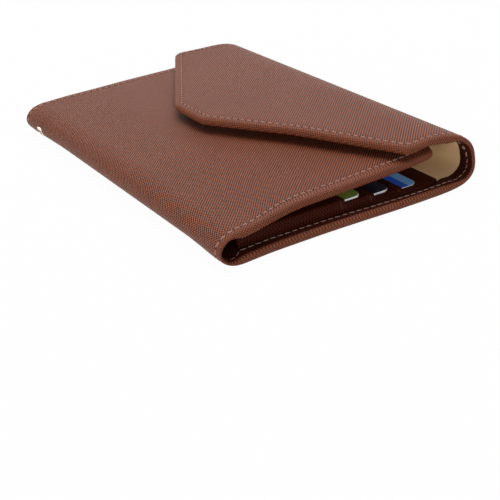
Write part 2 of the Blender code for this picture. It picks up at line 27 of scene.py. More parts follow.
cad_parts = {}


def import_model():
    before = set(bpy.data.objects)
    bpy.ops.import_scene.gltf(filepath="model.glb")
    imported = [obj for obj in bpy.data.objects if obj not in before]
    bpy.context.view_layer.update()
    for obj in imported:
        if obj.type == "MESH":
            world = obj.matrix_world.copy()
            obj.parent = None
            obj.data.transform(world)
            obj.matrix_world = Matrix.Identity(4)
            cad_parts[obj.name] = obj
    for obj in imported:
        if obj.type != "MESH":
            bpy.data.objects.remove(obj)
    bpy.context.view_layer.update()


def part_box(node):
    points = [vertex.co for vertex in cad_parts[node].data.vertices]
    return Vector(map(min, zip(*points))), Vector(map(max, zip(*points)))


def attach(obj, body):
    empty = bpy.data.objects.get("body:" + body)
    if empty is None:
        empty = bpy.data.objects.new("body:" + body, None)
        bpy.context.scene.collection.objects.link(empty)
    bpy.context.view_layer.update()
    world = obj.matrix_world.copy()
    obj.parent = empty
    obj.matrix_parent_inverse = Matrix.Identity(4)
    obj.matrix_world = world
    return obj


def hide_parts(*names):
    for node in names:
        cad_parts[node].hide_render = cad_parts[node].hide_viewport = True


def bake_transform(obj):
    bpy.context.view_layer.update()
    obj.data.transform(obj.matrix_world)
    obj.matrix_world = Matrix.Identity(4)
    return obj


LOG = logging.getLogger("travel_wallet")
MM = 0.001
SLACK = 1e-6
CLOSE = 1e-7
TINY = 1e-9
FLAT = 0.99
SHEET_UV = "sheet"
RIM_FIELD = "rim"
ALONG = Vector((1.0, 0.0, 0.0))
ACROSS = Vector((0.0, 1.0, 0.0))
WHITE = (1.0, 1.0, 1.0, 1.0)

Point = tuple[float, float]
Triple = tuple[float, float, float]
Colour = Triple


# Shader nodes


class Wire:
    """An output socket whose Python operators add Math nodes."""

    def __init__(self, recipe: Recipe, socket: bpy.types.NodeSocket) -> None:
        """Keep the socket and the recipe that it belongs to."""
        self.recipe = recipe
        self.socket = socket

    def math(self, operation: str, *others: Wire | float) -> Wire:
        """Return the output of a Math node that takes this value and others."""
        values = dict(enumerate((self, *others)))
        return self.recipe.add("ShaderNodeMath", {"operation": operation}, values)

    def __add__(self, other: Wire | float) -> Wire:
        """Sum."""
        return self.math("ADD", other)

    def __sub__(self, other: Wire | float) -> Wire:
        """Difference."""
        return self.math("SUBTRACT", other)

    def __rsub__(self, other: float) -> Wire:
        """Difference from a number."""
        return self.math("MULTIPLY_ADD", -1.0, other)

    def __mul__(self, other: Wire | float) -> Wire:
        """Product."""
        return self.math("MULTIPLY", other)

    __radd__ = __add__
    __rmul__ = __mul__

    def around(self, mean: float, width: float) -> Wire:
        """Map 0..1 to a band of values round a mean."""
        return self * width + (mean - width / 2)

    def clipped(self, low: float, high: float) -> Wire:
        """Map a range to 0..1, smoothly and held at its ends."""
        settings = {"interpolation_type": "SMOOTHSTEP"}
        return self.recipe.add("ShaderNodeMapRange", settings, {0: self, 1: low, 2: high})


class Recipe:
    """The nodes of a material or a world under construction."""

    def __init__(self, owner: bpy.types.Material | bpy.types.World) -> None:
        """Start without nodes.

        Args:
            owner: the new material or world.
        """
        owner.use_nodes = True
        self.owner = owner
        self.nodes = owner.node_tree.nodes
        self.links = owner.node_tree.links
        self.nodes.clear()

    def add(
        self,
        kind: str,
        settings: dict | None = None,
        values: dict | None = None,
        out: int | str = 0,
    ) -> Wire:
        """Add a node.

        Args:
            kind: its type.
            settings: its own properties.
            values: its inputs by name or number, each a number, a colour or a Wire.
            out: the output to return.

        Returns:
            The chosen output.
        """
        node = self.nodes.new(kind)
        for key, value in (settings or {}).items():
            setattr(node, key, value)
        for key, value in (values or {}).items():
            if isinstance(value, Wire):
                self.links.new(value.socket, node.inputs[key])
            else:
                node.inputs[key].default_value = value
        return Wire(self, node.outputs[out])

    def outputs(self, kind: str, values: dict | None = None) -> dict[str, Wire]:
        """Add a node and return all its outputs by name."""
        node = self.add(kind, {}, values).socket.node
        return {socket.name: Wire(self, socket) for socket in node.outputs}

    def noise(self, vector: Wire, scale: float, detail: float = 2.0) -> Wire:
        """Add a Noise Texture and return its value."""
        values = {"Vector": vector, "Scale": scale, "Detail": detail}
        return self.add("ShaderNodeTexNoise", {}, values)

    def mix(self, share: Wire | float, first: Wire | Colour, second: Wire | Colour) -> Wire:
        """Mix two colours.

        Args:
            share: how much of the second.
            first: colour at 0.
            second: colour at 1.

        Returns:
            The mixed colour.
        """
        one, other = (end if isinstance(end, Wire) else (*end, 1.0) for end in (first, second))
        # Sockets 6 and 7 and output 2 of a Mix node are its colours.
        return self.add("ShaderNodeMix", {"data_type": "RGBA"}, {0: share, 6: one, 7: other}, 2)

    def backdrop(self, lit: Wire, white: Wire, whiteness: float) -> Wire:
        """Show surroundings white, and light the scene with them less brightly.

        Args:
            lit: the shader for rays that only carry light.
            white: the shader for camera, glossy and transmission rays.
            whiteness: its share for those rays.

        Returns:
            The joined shader.
        """
        rays = self.outputs("ShaderNodeLightPath")
        seen = rays["Is Camera Ray"].math("MAXIMUM", rays["Is Glossy Ray"])
        seen = seen.math("MAXIMUM", rays["Is Transmission Ray"]) * whiteness
        return self.add("ShaderNodeMixShader", {}, {0: seen, 1: lit, 2: white})

    def close(self, shader: Wire, output: str = "ShaderNodeOutputMaterial") -> None:
        """Join a shader to a new output node."""
        node = self.nodes.new(output)
        self.links.new(shader.socket, node.inputs["Surface"])


@dataclass(frozen=True)
class Look:
    """A finish, which builds its own material."""

    name: str

    def inputs(self, recipe: Recipe) -> dict[str, Wire | float]:
        """Return the inputs of the finish's Principled shader."""
        raise NotImplementedError

    @cache
    def material(self) -> bpy.types.Material:
        """Return the finish's material, built once."""
        recipe = Recipe(bpy.data.materials.new(self.name))
        recipe.close(recipe.add("ShaderNodeBsdfPrincipled", {}, self.inputs(recipe)))
        return recipe.owner


@dataclass(frozen=True)
class Saffiano(Look):
    """Cross-hatched leather: two sets of pressed lines at 45 degrees to the sheet, with painted
    shade on its rims.
    """

    ridge: Colour
    valley: Colour
    # edge: painted shade, the darker and redder tone of rims that reflect no sheen
    edge: Colour
    pitch: float = 0.92 * MM
    rising_share: float = 0.40
    falling_share: float = 0.30
    drift: float = 0.25 * MM
    drift_scale: float = 900.0
    pore_scale: float = 2600.0
    pore_height: float = 0.14
    pore_roughness: float = 0.12
    speck_scale: float = 1000.0
    speck_height: float = 0.35
    speck_tone: float = 0.45
    cloud_scale: float = 38.0
    cloud_tone: float = 0.24
    ridge_range: Point = (0.25, 0.80)
    rim_shade: float = 0.45
    rim_shade_reach: float = 5.0 * MM
    depth: float = 0.17 * MM
    strength: float = 0.9
    roughness: float = 0.45
    gloss: float = 0.12

    def inputs(self, recipe: Recipe) -> dict[str, Wire | float]:
        """Build the leather's nodes.

        Args:
            recipe: the material.

        Returns:
            The shader's inputs.
        """
        sheet = recipe.add("ShaderNodeUVMap", {"uv_map": SHEET_UV})
        parts = recipe.outputs("ShaderNodeSeparateXYZ", {0: sheet})
        along, across = parts["X"], parts["Y"]
        drift = (recipe.noise(sheet, self.drift_scale) - 0.5) * self.drift
        turn = 2.0 * math.pi / (self.pitch * math.sqrt(2.0))
        rising = ((along + across + drift) * turn).math("SINE")
        falling = ((along - across + drift) * turn).math("SINE")
        hatch = rising * self.rising_share + falling * self.falling_share + 0.5
        pores = recipe.noise(sheet, self.pore_scale)
        specks = recipe.noise(sheet, self.speck_scale)
        cloud = recipe.noise(sheet, self.cloud_scale)
        height = hatch + pores * self.pore_height + specks * self.speck_height
        tone = recipe.mix(hatch.clipped(*self.ridge_range), self.valley, self.ridge)
        # Painted shade: near the rim the tone turns toward the edge colour.
        rim = recipe.add("ShaderNodeAttribute", {"attribute_name": RIM_FIELD}, {}, "Fac")
        rim_shaded = 1.0 - rim.clipped(0.0, self.rim_shade_reach)
        tone = recipe.mix(rim_shaded * self.rim_shade, tone, self.edge)
        mean = 1.0 - (self.cloud_tone + self.speck_tone) / 2
        value = cloud * self.cloud_tone + specks * self.speck_tone + mean
        shade = recipe.add("ShaderNodeHueSaturation", {}, {"Color": tone, "Value": value})
        relief = {"Strength": self.strength, "Distance": self.depth, "Height": height}
        return {
            "Base Color": shade,
            "Roughness": pores.around(self.roughness, self.pore_roughness),
            "Specular IOR Level": self.gloss,
            "Normal": recipe.add("ShaderNodeBump", {}, relief),
        }


@dataclass(frozen=True)
class Nap(Look):
    """Suede-like lining cloth."""

    light: Colour
    dark: Colour
    fibre_scale: float = 2400.0
    fibre_detail: float = 4.0
    cloud_scale: float = 60.0
    depth: float = 0.1 * MM
    strength: float = 0.5
    roughness: float = 0.9
    sheen: float = 0.15

    def inputs(self, recipe: Recipe) -> dict[str, Wire | float]:
        """Build the cloth's nodes.

        Args:
            recipe: the material.

        Returns:
            The shader's inputs.
        """
        sheet = recipe.add("ShaderNodeUVMap", {"uv_map": SHEET_UV})
        fibres = recipe.noise(sheet, self.fibre_scale, self.fibre_detail)
        cloud = recipe.noise(sheet, self.cloud_scale)
        relief = {"Strength": self.strength, "Distance": self.depth, "Height": fibres}
        return {
            "Base Color": recipe.mix(fibres * 0.5 + cloud * 0.5, self.dark, self.light),
            "Roughness": self.roughness,
            "Normal": recipe.add("ShaderNodeBump", {}, relief),
            "Sheen Weight": self.sheen,
        }


@dataclass(frozen=True)
class Thread(Look):
    """Waxed sewing thread, laid in a twist."""

    colour: Colour
    shade: Colour
    strand_scale: float = 3000.0
    shade_range: Point = (0.3, 0.7)
    roughness: float = 0.6
    gloss: float = 0.3

    def inputs(self, recipe: Recipe) -> dict[str, Wire | float]:
        """Build the thread's nodes.

        Args:
            recipe: the material.

        Returns:
            The shader's inputs.
        """
        place = recipe.add("ShaderNodeTexCoord", {}, {}, "Object")
        strands = recipe.noise(place, self.strand_scale)
        tone = recipe.mix(strands.clipped(*self.shade_range), self.shade, self.colour)
        return {"Base Color": tone, "Roughness": self.roughness, "Specular IOR Level": self.gloss}


@dataclass(frozen=True)
class Plain(Look):
    """Coated or solid stuff with fine specks: card faces, card core, the painted shade of holes,
    and metal.
    """

    colour: Colour
    roughness: float = 0.35
    metallic: float = 0.0
    band: Colour | None = None
    band_start: float = 0.0
    band_blur: float = 0.2 * MM
    speck_scale: float = 700.0
    speck_range: Point = (0.35, 0.75)
    speck_dimming: float = 0.82
    speck_roughness: float = 0.1

    def inputs(self, recipe: Recipe) -> dict[str, Wire | float]:
        """Build the stuff's nodes, with a band of a second colour past an X where it has one.

        Args:
            recipe: the material.

        Returns:
            The shader's inputs.
        """
        place = recipe.add("ShaderNodeTexCoord", {}, {}, "Object")
        specks = recipe.noise(place, self.speck_scale)
        dim = tuple(part * self.speck_dimming for part in self.colour)
        tone = recipe.mix(specks.clipped(*self.speck_range), self.colour, dim)
        if self.band:
            x = recipe.outputs("ShaderNodeSeparateXYZ", {0: place})["X"]
            edge, blur = self.band_start, self.band_blur
            tone = recipe.mix(x.clipped(edge - blur, edge + blur), tone, self.band)
        rough = specks.around(self.roughness, self.speck_roughness)
        return {"Base Color": tone, "Roughness": rough, "Metallic": self.metallic}


class Finish(Enum):
    """The wallet's finishes."""

    LEATHER = Saffiano(
        "saffiano_leather",
        ridge=(0.286, 0.087, 0.043),
        valley=(0.024, 0.0045, 0.002),
        # edge: painted shade on the rims
        edge=(0.170, 0.045, 0.018),
    )
    # Painted shade: the outer leather, painted several times darker for the shaded inside.
    INNER_LEATHER = Saffiano(
        "inner_saffiano",
        ridge=(0.068, 0.013, 0.006),
        valley=(0.026, 0.004, 0.002),
        edge=(0.054, 0.011, 0.005),
        gloss=0.03,
    )
    LINING = Nap("beige_lining", light=(0.920, 0.630, 0.330), dark=(0.790, 0.520, 0.260))
    THREAD = Thread("sewing_thread", (0.400, 0.205, 0.155), (0.240, 0.110, 0.080))
    # Painted light: the outer thread, painted paler so that the inner rows stay bright in the
    # shaded inside.
    PALE_THREAD = Thread("inner_thread", (0.470, 0.290, 0.240), (0.300, 0.160, 0.125))
    # Painted shade: the card slots' thread, as dark as the shaded inside.
    DARK_THREAD = Thread("dark_thread", (0.060, 0.020, 0.012), (0.035, 0.010, 0.006))
    # Painted shade: near-black for the shade inside needle holes and the eyelet's bore.
    NEEDLE_HOLE = Plain("needle_hole", (0.020, 0.008, 0.005), roughness=0.9)
    CARD_CORE = Plain("card_core", (0.95, 0.95, 0.95), roughness=0.4)
    GREEN = Plain("green_card_face", (0.250, 0.350, 0.065), roughness=0.3)
    DARK = Plain("dark_card_face", (0.012, 0.013, 0.026), roughness=0.3)
    BLUE = Plain(
        "blue_card_face",
        (0.020, 0.140, 0.800),
        roughness=0.3,
        band=(0.170, 0.490, 0.950),
        band_start=0.0312,
    )
    METAL = Plain("eyelet_metal", (0.900, 0.760, 0.640), roughness=0.22, metallic=1.0)


# Numbers


def eased(value: float, low: float, high: float) -> float:
    """Return 0 at low, 1 at high and a smooth step between."""
    share = min(1.0, max(0.0, (value - low) / (high - low)))
    return share * share * (3.0 - 2.0 * share)


def ramp(value: float, origin: float, span: Point) -> float:
    """Return a smooth step over a span that is counted from an origin."""
    return eased(value, origin + span[0], origin + span[1])


def spread(low: float, high: float, count: int) -> list[float]:
    """Return the ends of a stretch and the places that part it evenly, in order."""
    return [low + (high - low) * index / count for index in range(count + 1)]


def in_metres(pairs: Iterable[Point]) -> list[Point]:
    """Return pairs of millimetres in metres."""
    return [(one * MM, other * MM) for one, other in pairs]


def smooth_curve(stops: Sequence[Point], place: float) -> float:
    """Read a curve that runs smoothly through its stops.

    Args:
        stops: (place, value) pairs in rising order.
        place: where to read, no further than the last stop.

    Returns:
        The value there.
    """
    index = next(i for i, stop in enumerate(stops[1:]) if place <= stop[0] or i == len(stops) - 2)
    (low, start), (high, end) = stops[index], stops[index + 1]
    before = stops[max(index - 1, 0)]
    after = stops[min(index + 2, len(stops) - 1)]
    width = high - low
    leave = (end - before[1]) / (high - before[0]) * width
    arrive = (after[1] - start) / (after[0] - low) * width
    t = (place - low) / width
    return (
        (2 * t**3 - 3 * t**2 + 1) * start
        + (t**3 - 2 * t**2 + t) * leave
        + (3 * t**2 - 2 * t**3) * end
        + (t**3 - t**2) * arrive
    )


# Mesh steps


def bevel(
    mesh: BMesh, geom: Sequence, radius: float, segments: int, affect: str = "EDGES"
) -> None:
    """Round edges or vertices.

    Args:
        mesh: the mesh.
        geom: its edges or vertices.
        radius: how far each side is cut back.
        segments: edges in each round.
        affect: EDGES or VERTICES.
    """
    bmesh.ops.bevel(
        mesh, geom=geom, offset=radius, offset_type="OFFSET", affect=affect, segments=segments,
        profile=0.5, clamp_overlap=False, material=-1,
    )


def split_at(mesh: BMesh, place: float, axis: Vector, clear: bool = False) -> list:
    """Cut a mesh square to an axis.

    Args:
        mesh: the mesh.
        place: where along the axis.
        axis: the axis.
        clear: whether what lies beyond the cut goes.

    Returns:
        The vertices and edges of the cut.
    """
    geom = mesh.verts[:] + mesh.edges[:] + mesh.faces[:]
    return bmesh.ops.bisect_plane(
        mesh, geom=geom, dist=CLOSE, plane_co=axis * place, plane_no=axis, clear_outer=clear
    )["geom_cut"]


def inset(mesh: BMesh, face: BMFace, width: float) -> list:
    """Inset a face and return the faces round it."""
    return bmesh.ops.inset_region(
        mesh, faces=[face], thickness=width, use_boundary=True, use_even_offset=True
    )["faces"]


def extrude(mesh: BMesh, rise: float) -> None:
    """Make a slab of a flat mesh.

    Args:
        mesh: the mesh.
        rise: how far its second face lies above it.
    """
    out = bmesh.ops.extrude_face_region(mesh, geom=mesh.faces[:])
    moved = [item for item in out["geom"] if isinstance(item, BMVert)]
    bmesh.ops.translate(mesh, vec=(0.0, 0.0, rise), verts=moved)
    bmesh.ops.recalc_face_normals(mesh, faces=mesh.faces[:])


def level_edges(mesh: BMesh) -> list[BMEdge]:
    """Return the edges that don't rise or fall."""
    return [edge for edge in mesh.edges if abs(edge.verts[0].co.z - edge.verts[1].co.z) < CLOSE]


def dress_rest(mesh: BMesh, first: set[BMFace]) -> None:
    """Give the second finish to every face but the first ones."""
    for face in mesh.faces:
        face.material_index = int(face not in first)


def data_of(name: str, mesh: BMesh) -> bpy.types.Mesh:
    """Turn a working mesh into mesh data.

    Args:
        name: the data's name.
        mesh: the working mesh; it is freed.

    Returns:
        The data.
    """
    data = bpy.data.meshes.new(name)
    mesh.to_mesh(data)
    mesh.free()
    return data


def placed(name: str, data: bpy.types.ID) -> bpy.types.Object:
    """Put a new object in the scene.

    Args:
        name: the object's name.
        data: its mesh, lamp or camera.

    Returns:
        The object.
    """
    item = bpy.data.objects.new(name, data)
    bpy.context.scene.collection.objects.link(item)
    return item


# The wallet's outer skin


class Leg(Enum):
    """Parts of the skin, in the order that it runs."""

    FRONT = "front"
    LEFT_FOLD = "left fold"
    BACK = "back"
    RIGHT_FOLD = "right fold"
    FLAP = "flap"


@dataclass(frozen=True)
class Joint:
    """How a sheet bends between two bodies: with the first before start, the second after end."""

    bodies: tuple[str, str]
    start: Vector
    end: Vector


@dataclass
class Skin:
    """Section of the wallet's outer skin, measured along from the front panel's free end.

    The skin runs left over the front panel, down the left fold, right under the back, up the right
    fold and left again over the flap, so that the wallet's inside is on its left hand throughout.
    """

    left: float = -56.0 * MM
    right: float = 57.0 * MM
    near: float = -83.0 * MM
    far: float = 83.0 * MM
    left_height: float = 12.8 * MM
    left_reach: float = 10.0 * MM
    left_gap: float = 0.4 * MM
    right_height: float = 21.7 * MM
    right_reach: float = 21.0 * MM
    right_belly: float = 9.602 * MM
    belly_fullness: float = 2.7
    brow_fullness: float = 2.7
    front_end: float = 42.5 * MM
    front_height: float = 16.1 * MM
    flap_tip: float = -15.8 * MM
    bow: tuple[Point, ...] = (
        (0.0, 0.0), (0.14, 0.24), (0.31, 0.39), (0.52, 0.46), (0.80, 0.61), (1.0, 1.0),
    )
    left_bend: float = 13.0 * MM
    left_bend_inset: float = 2.5 * MM
    left_bend_rise: float = 2.2 * MM
    right_bend: float = 16.0 * MM
    front_steps: int = 60
    left_steps: int = 80
    right_steps: int = 200
    step: float = 0.25 * MM
    tangent_reach: float = 0.5 * MM
    points: list[Vector] = field(default_factory=list)
    lengths: list[float] = field(default_factory=list)
    starts: dict[Leg, float] = field(default_factory=dict)
    total: float = 0.0
    extreme_left: float = 0.0
    extreme_right: float = 0.0

    def __post_init__(self) -> None:
        """Lay the section out."""
        back_end = self.right - self.right_reach
        legs = (
            (Leg.FRONT, self._front()),
            (Leg.LEFT_FOLD, self._left_fold()),
            (Leg.BACK, [(self.left + self.left_reach, 0.0), (back_end, 0.0)]),
            (Leg.RIGHT_FOLD, self._right_fold()),
            (Leg.FLAP, [(back_end, self.right_height), (self.flap_tip, self.right_height)]),
        )
        for leg, corners in legs:
            self.starts[leg] = self.total
            for corner in corners:
                self._run_to(Vector(corner))
        pairs = list(zip(self.points, self.lengths))
        self.extreme_left = min(pairs, key=lambda pair: pair[0].x)[1]
        self.extreme_right = max(pairs, key=lambda pair: pair[0].x)[1]

    def _run_to(self, corner: Vector) -> None:
        """Run the section on in short steps.

        Args:
            corner: the (x, z) of its next corner.
        """
        if not self.points:
            self.points.append(corner)
            self.lengths.append(0.0)
        origin = self.points[-1]
        run = corner - origin
        if run.length < TINY:
            return
        pieces = max(1, round(run.length / self.step))
        for piece in range(1, pieces + 1):
            self.points.append(origin + run * piece / pieces)
            self.lengths.append(self.total + run.length * piece / pieces)
        self.total += run.length

    def _front(self) -> list[Point]:
        """Return the front panel's section from its free end, bowed as it was measured."""
        start = self.left + self.left_reach + self.left_gap
        run = self.front_end - start
        rise = self.front_height - self.left_height
        spots = []
        for index in range(self.front_steps + 1):
            share = 1.0 - index / self.front_steps
            height = self.left_height + rise * smooth_curve(self.bow, share)
            spots.append((start + run * share, height))
        return [*spots, (self.left + self.left_reach, self.left_height)]

    def _left_fold(self) -> list[Point]:
        """Return the left fold's section, from the front panel down to the back."""
        rise = self.left_height / 2
        turns = (math.pi * (0.5 - index / self.left_steps) for index in range(self.left_steps + 1))
        return [
            (self.left + self.left_reach * (1.0 - math.cos(turn)), rise + rise * math.sin(turn))
            for turn in turns
        ]

    def _right_fold(self) -> list[Point]:
        """Return the right fold's section, from the back up to the flap."""
        belly = (-self.right_belly, self.belly_fullness)
        brow = (self.right_height - self.right_belly, self.brow_fullness)
        spots = []
        for index in range(self.right_steps + 1):
            turn = math.pi * (index / self.right_steps - 0.5)
            rise, fullness = belly if turn < 0.0 else brow
            out = max(math.cos(turn), 0.0) ** (2.0 / fullness)
            up = abs(math.sin(turn)) ** (2.0 / fullness)
            x = self.right - self.right_reach * (1.0 - out)
            spots.append((x, self.right_belly + rise * up))
        return spots

    def spot(self, along: float) -> Vector:
        """Find a place on the skin, which runs on straight at its ends.

        Args:
            along: its distance along the skin.

        Returns:
            Its (x, z).
        """
        if along <= 0.0:
            first = (self.points[1] - self.points[0]).normalized()
            return self.points[0] + first * along
        if along >= self.total:
            last = (self.points[-1] - self.points[-2]).normalized()
            return self.points[-1] + last * (along - self.total)
        high = min(bisect_right(self.lengths, along), len(self.lengths) - 1)
        low = high - 1
        share = (along - self.lengths[low]) / (self.lengths[high] - self.lengths[low])
        return self.points[low].lerp(self.points[high], share)

    def inward(self, along: float) -> Vector:
        """Return the unit (x, z) that points into the wallet."""
        run = self.spot(along + self.tangent_reach) - self.spot(along - self.tangent_reach)
        return Vector((-run.y, run.x)).normalized()

    def along_at(self, leg: Leg, x: float) -> float:
        """Find an X on one leg of the skin.

        Args:
            leg: the leg.
            x: the X.

        Returns:
            Its distance along the skin.
        """
        marks = [*self.starts.values(), self.total]
        index = list(Leg).index(leg)
        low, high = marks[index] - SLACK, marks[index + 1] + SLACK
        for spot, length, onward in zip(self.points, self.lengths, self.points[1:]):
            if low <= length <= high and min(spot.x, onward.x) <= x <= max(spot.x, onward.x):
                return length + (Vector((x, spot.y)) - spot).length
        raise ValueError(f"no place at x {x} on the {leg.value}")

    def bends(self) -> tuple[Joint, ...]:
        """Return how the sheet bends at each of the wallet's joints, in order along the skin."""
        root, inner = self.left + self.left_bend, self.left + self.left_bend_inset
        lid = self.right - self.right_bend
        low = Vector((inner, 0.0, self.left_bend_rise))
        high = Vector((inner, 0.0, self.left_height - self.left_bend_rise))
        spine = Vector((self.right, 0.0, self.right_belly))
        return (
            Joint(("left_spine", "front"), high, Vector((root, 0.0, self.left_height))),
            Joint(("back", "left_spine"), Vector((root, 0.0, 0.0)), low),
            Joint(("back", "right_spine"), Vector((lid, 0.0, 0.0)), spine),
            Joint(("right_spine", "flap"), spine, Vector((lid, 0.0, self.right_height))),
        )


@dataclass
class Body:
    """Thickness of the leather along the skin, how its margins lie and its soft unevenness.

    A field that is a pair is a span that something comes or goes in. It is counted from the end of
    a leg of the skin, from the rim, or across the sheet from its middle line.
    """

    skin: Skin
    panel: float = 3.2 * MM
    left_fold: float = 1.1 * MM
    right_fold: float = 2.2 * MM
    flap: float = 3.3 * MM
    ease: float = 7.0 * MM
    rolled: float = 1.35 * MM
    margin_ease: float = 1.2 * MM
    front_margin: float = 1.7 * MM
    front_draw: float = 3.2 * MM
    front_skew: float = 1.3 * MM
    front_leaves: Point = (-26.0 * MM, 0.0)
    far_draw: float = 1.4 * MM
    inner_margin: float = 1.9 * MM
    back_comes: Point = (-3.0 * MM, 1.0 * MM)
    back_leaves: Point = (10.0 * MM, 8.0 * MM)
    fold_margin: float = 2.7 * MM
    fold_margin_comes: Point = (2.9 * MM, 4.0 * MM)
    fold_comes: Point = (0.0, 10.0 * MM)
    fold_leaves: Point = (-4.0 * MM, 8.0 * MM)
    near_bulge: float = 1.4 * MM
    bulge_comes: Point = (30.0 * MM, 75.0 * MM)
    bulge_leaves: Point = (-12.0 * MM, 2.0 * MM)
    grain_turn: Point = (1.0 * MM, 8.0 * MM)
    unevenness: float = 0.16 * MM
    wave: Triple = (42.0, 36.0, 3.7)
    front_wave_leaves: Point = (-10.0 * MM, 0.0)
    flap_wave_comes: Point = (0.0, 10.0 * MM)
    crown: float = 1.2 * MM
    crown_leaves: Point = (-30.0 * MM, 0.0)
    flap_droop: float = 0.9 * MM
    droop_comes: Point = (-4.0 * MM, 9.0 * MM)
    droop_leaves: Point = (15.0 * MM, 48.0 * MM)
    droop_across: Point = (40.0 * MM, 78.0 * MM)
    flare_leaves: Point = (9.0 * MM, 26.0 * MM)
    near_flare: float = 1.0 * MM
    near_flare_across: Point = (58.0 * MM, 80.0 * MM)
    far_flare: float = 1.0 * MM
    far_flare_across: Point = (45.0 * MM, 80.0 * MM)

    def thickness(self, along: float) -> float:
        """Find the leather's thickness.

        Args:
            along: a place along the skin.

        Returns:
            The thickness there.
        """
        left, right = self.skin.extreme_left, self.skin.extreme_right
        reach_left = self.skin.starts[Leg.BACK] - left
        reach_right = right - self.skin.starts[Leg.RIGHT_FOLD]
        base = self.panel if along < right else self.flap
        near_left = 1.0 - eased(abs(along - left), reach_left - self.ease, reach_left)
        near_right = 1.0 - ramp(abs(along - right), reach_right, (-2 * self.ease, -self.ease))
        return base + (self.left_fold - base) * near_left + (self.right_fold - base) * near_right

    def drawn(self, along: float, across: float, depth: float) -> float:
        """Return where a place across the sheet lies, once its margins are drawn in.

        Args:
            along: its place along the skin.
            across: its place across the flat sheet.
            depth: its share of the leather's thickness, from the outer face.

        Returns:
            Its place across the wallet.
        """
        skin = self.skin
        _, fold, back, back_end, lid = skin.starts.values()
        far = across > 0.0
        inside = skin.far - across if far else across - skin.near
        past_roll = eased(inside, self.rolled, self.rolled + self.margin_ease)
        depth = min(1.0, max(0.0, depth))
        on_front = 1.0 - ramp(along, fold, self.front_leaves)
        skew = 1.0 - eased(along, 0.0, fold)
        draw = self.far_draw if far else self.front_draw + self.front_skew * skew
        shift = on_front * (draw + self.front_margin * past_roll)
        back_leaves = (back + self.back_leaves[0], back_end + self.back_leaves[1])
        on_back = ramp(along, back, self.back_comes) * (1.0 - eased(along, *back_leaves))
        shift += on_back * self.inner_margin * past_roll * depth
        on_fold = ramp(along, back_end, self.fold_comes)
        on_fold *= 1.0 - ramp(along, lid, self.fold_leaves)
        shift += on_fold * self.fold_margin * ramp(inside, 0.0, self.fold_margin_comes) * depth
        if not far:
            bulge = ramp(along, back, self.bulge_comes)
            bulge *= 1.0 - ramp(along, skin.extreme_right, self.bulge_leaves)
            shift -= self.near_bulge * bulge
        shift *= 1.0 - inside / skin.far
        return across - shift if far else across + shift

    def place(self, spot: Vector) -> Vector:
        """Wrap a flat place on the skin, with the front panel crowned.

        Args:
            spot: its place along and across the sheet, and its depth.

        Returns:
            Its place in the CAD's frame.
        """
        along, across, depth = spot
        across = self.drawn(along, across, depth / self.panel)
        origin, inward = self.skin.spot(along), self.skin.inward(along)
        depth *= self.thickness(along) / self.panel
        top, lid = self.skin.starts[Leg.LEFT_FOLD], self.skin.starts[Leg.FLAP]
        loose = 1.0 - ramp(along, top, self.front_wave_leaves)
        loose += ramp(along, lid, self.flap_wave_comes)
        wave = Vector((along * self.wave[0], across * self.wave[1], self.wave[2]))
        depth += loose * self.unevenness * noise.noise(wave)
        swell = self.crown * (1.0 - ramp(along, top, self.crown_leaves))
        swell *= 1.0 - (across / self.skin.far) ** 2
        hang = ramp(along, lid, self.droop_comes) * (1.0 - ramp(along, lid, self.droop_leaves))
        swell -= self.flap_droop * hang * ramp(-across, 0.0, self.droop_across)
        fold = 1.0 - ramp(abs(along - self.skin.extreme_left), 0.0, self.flare_leaves)
        near = self.near_flare * fold * ramp(-across, 0.0, self.near_flare_across)
        out = near + self.far_flare * fold * ramp(across, 0.0, self.far_flare_across)
        x, z = origin.x + inward.x * depth - out, origin.y + inward.y * depth + swell
        return Vector((x, across - near, z))


# Sheets


@dataclass(frozen=True)
class Corner:
    """Corner of a flat sheet's outline."""

    along: float
    across: float
    radius: float = 0.0


@dataclass(frozen=True)
class Cut:
    """Part of a sheet that is an object by itself."""

    name: str
    low: float
    high: float
    joint: Joint


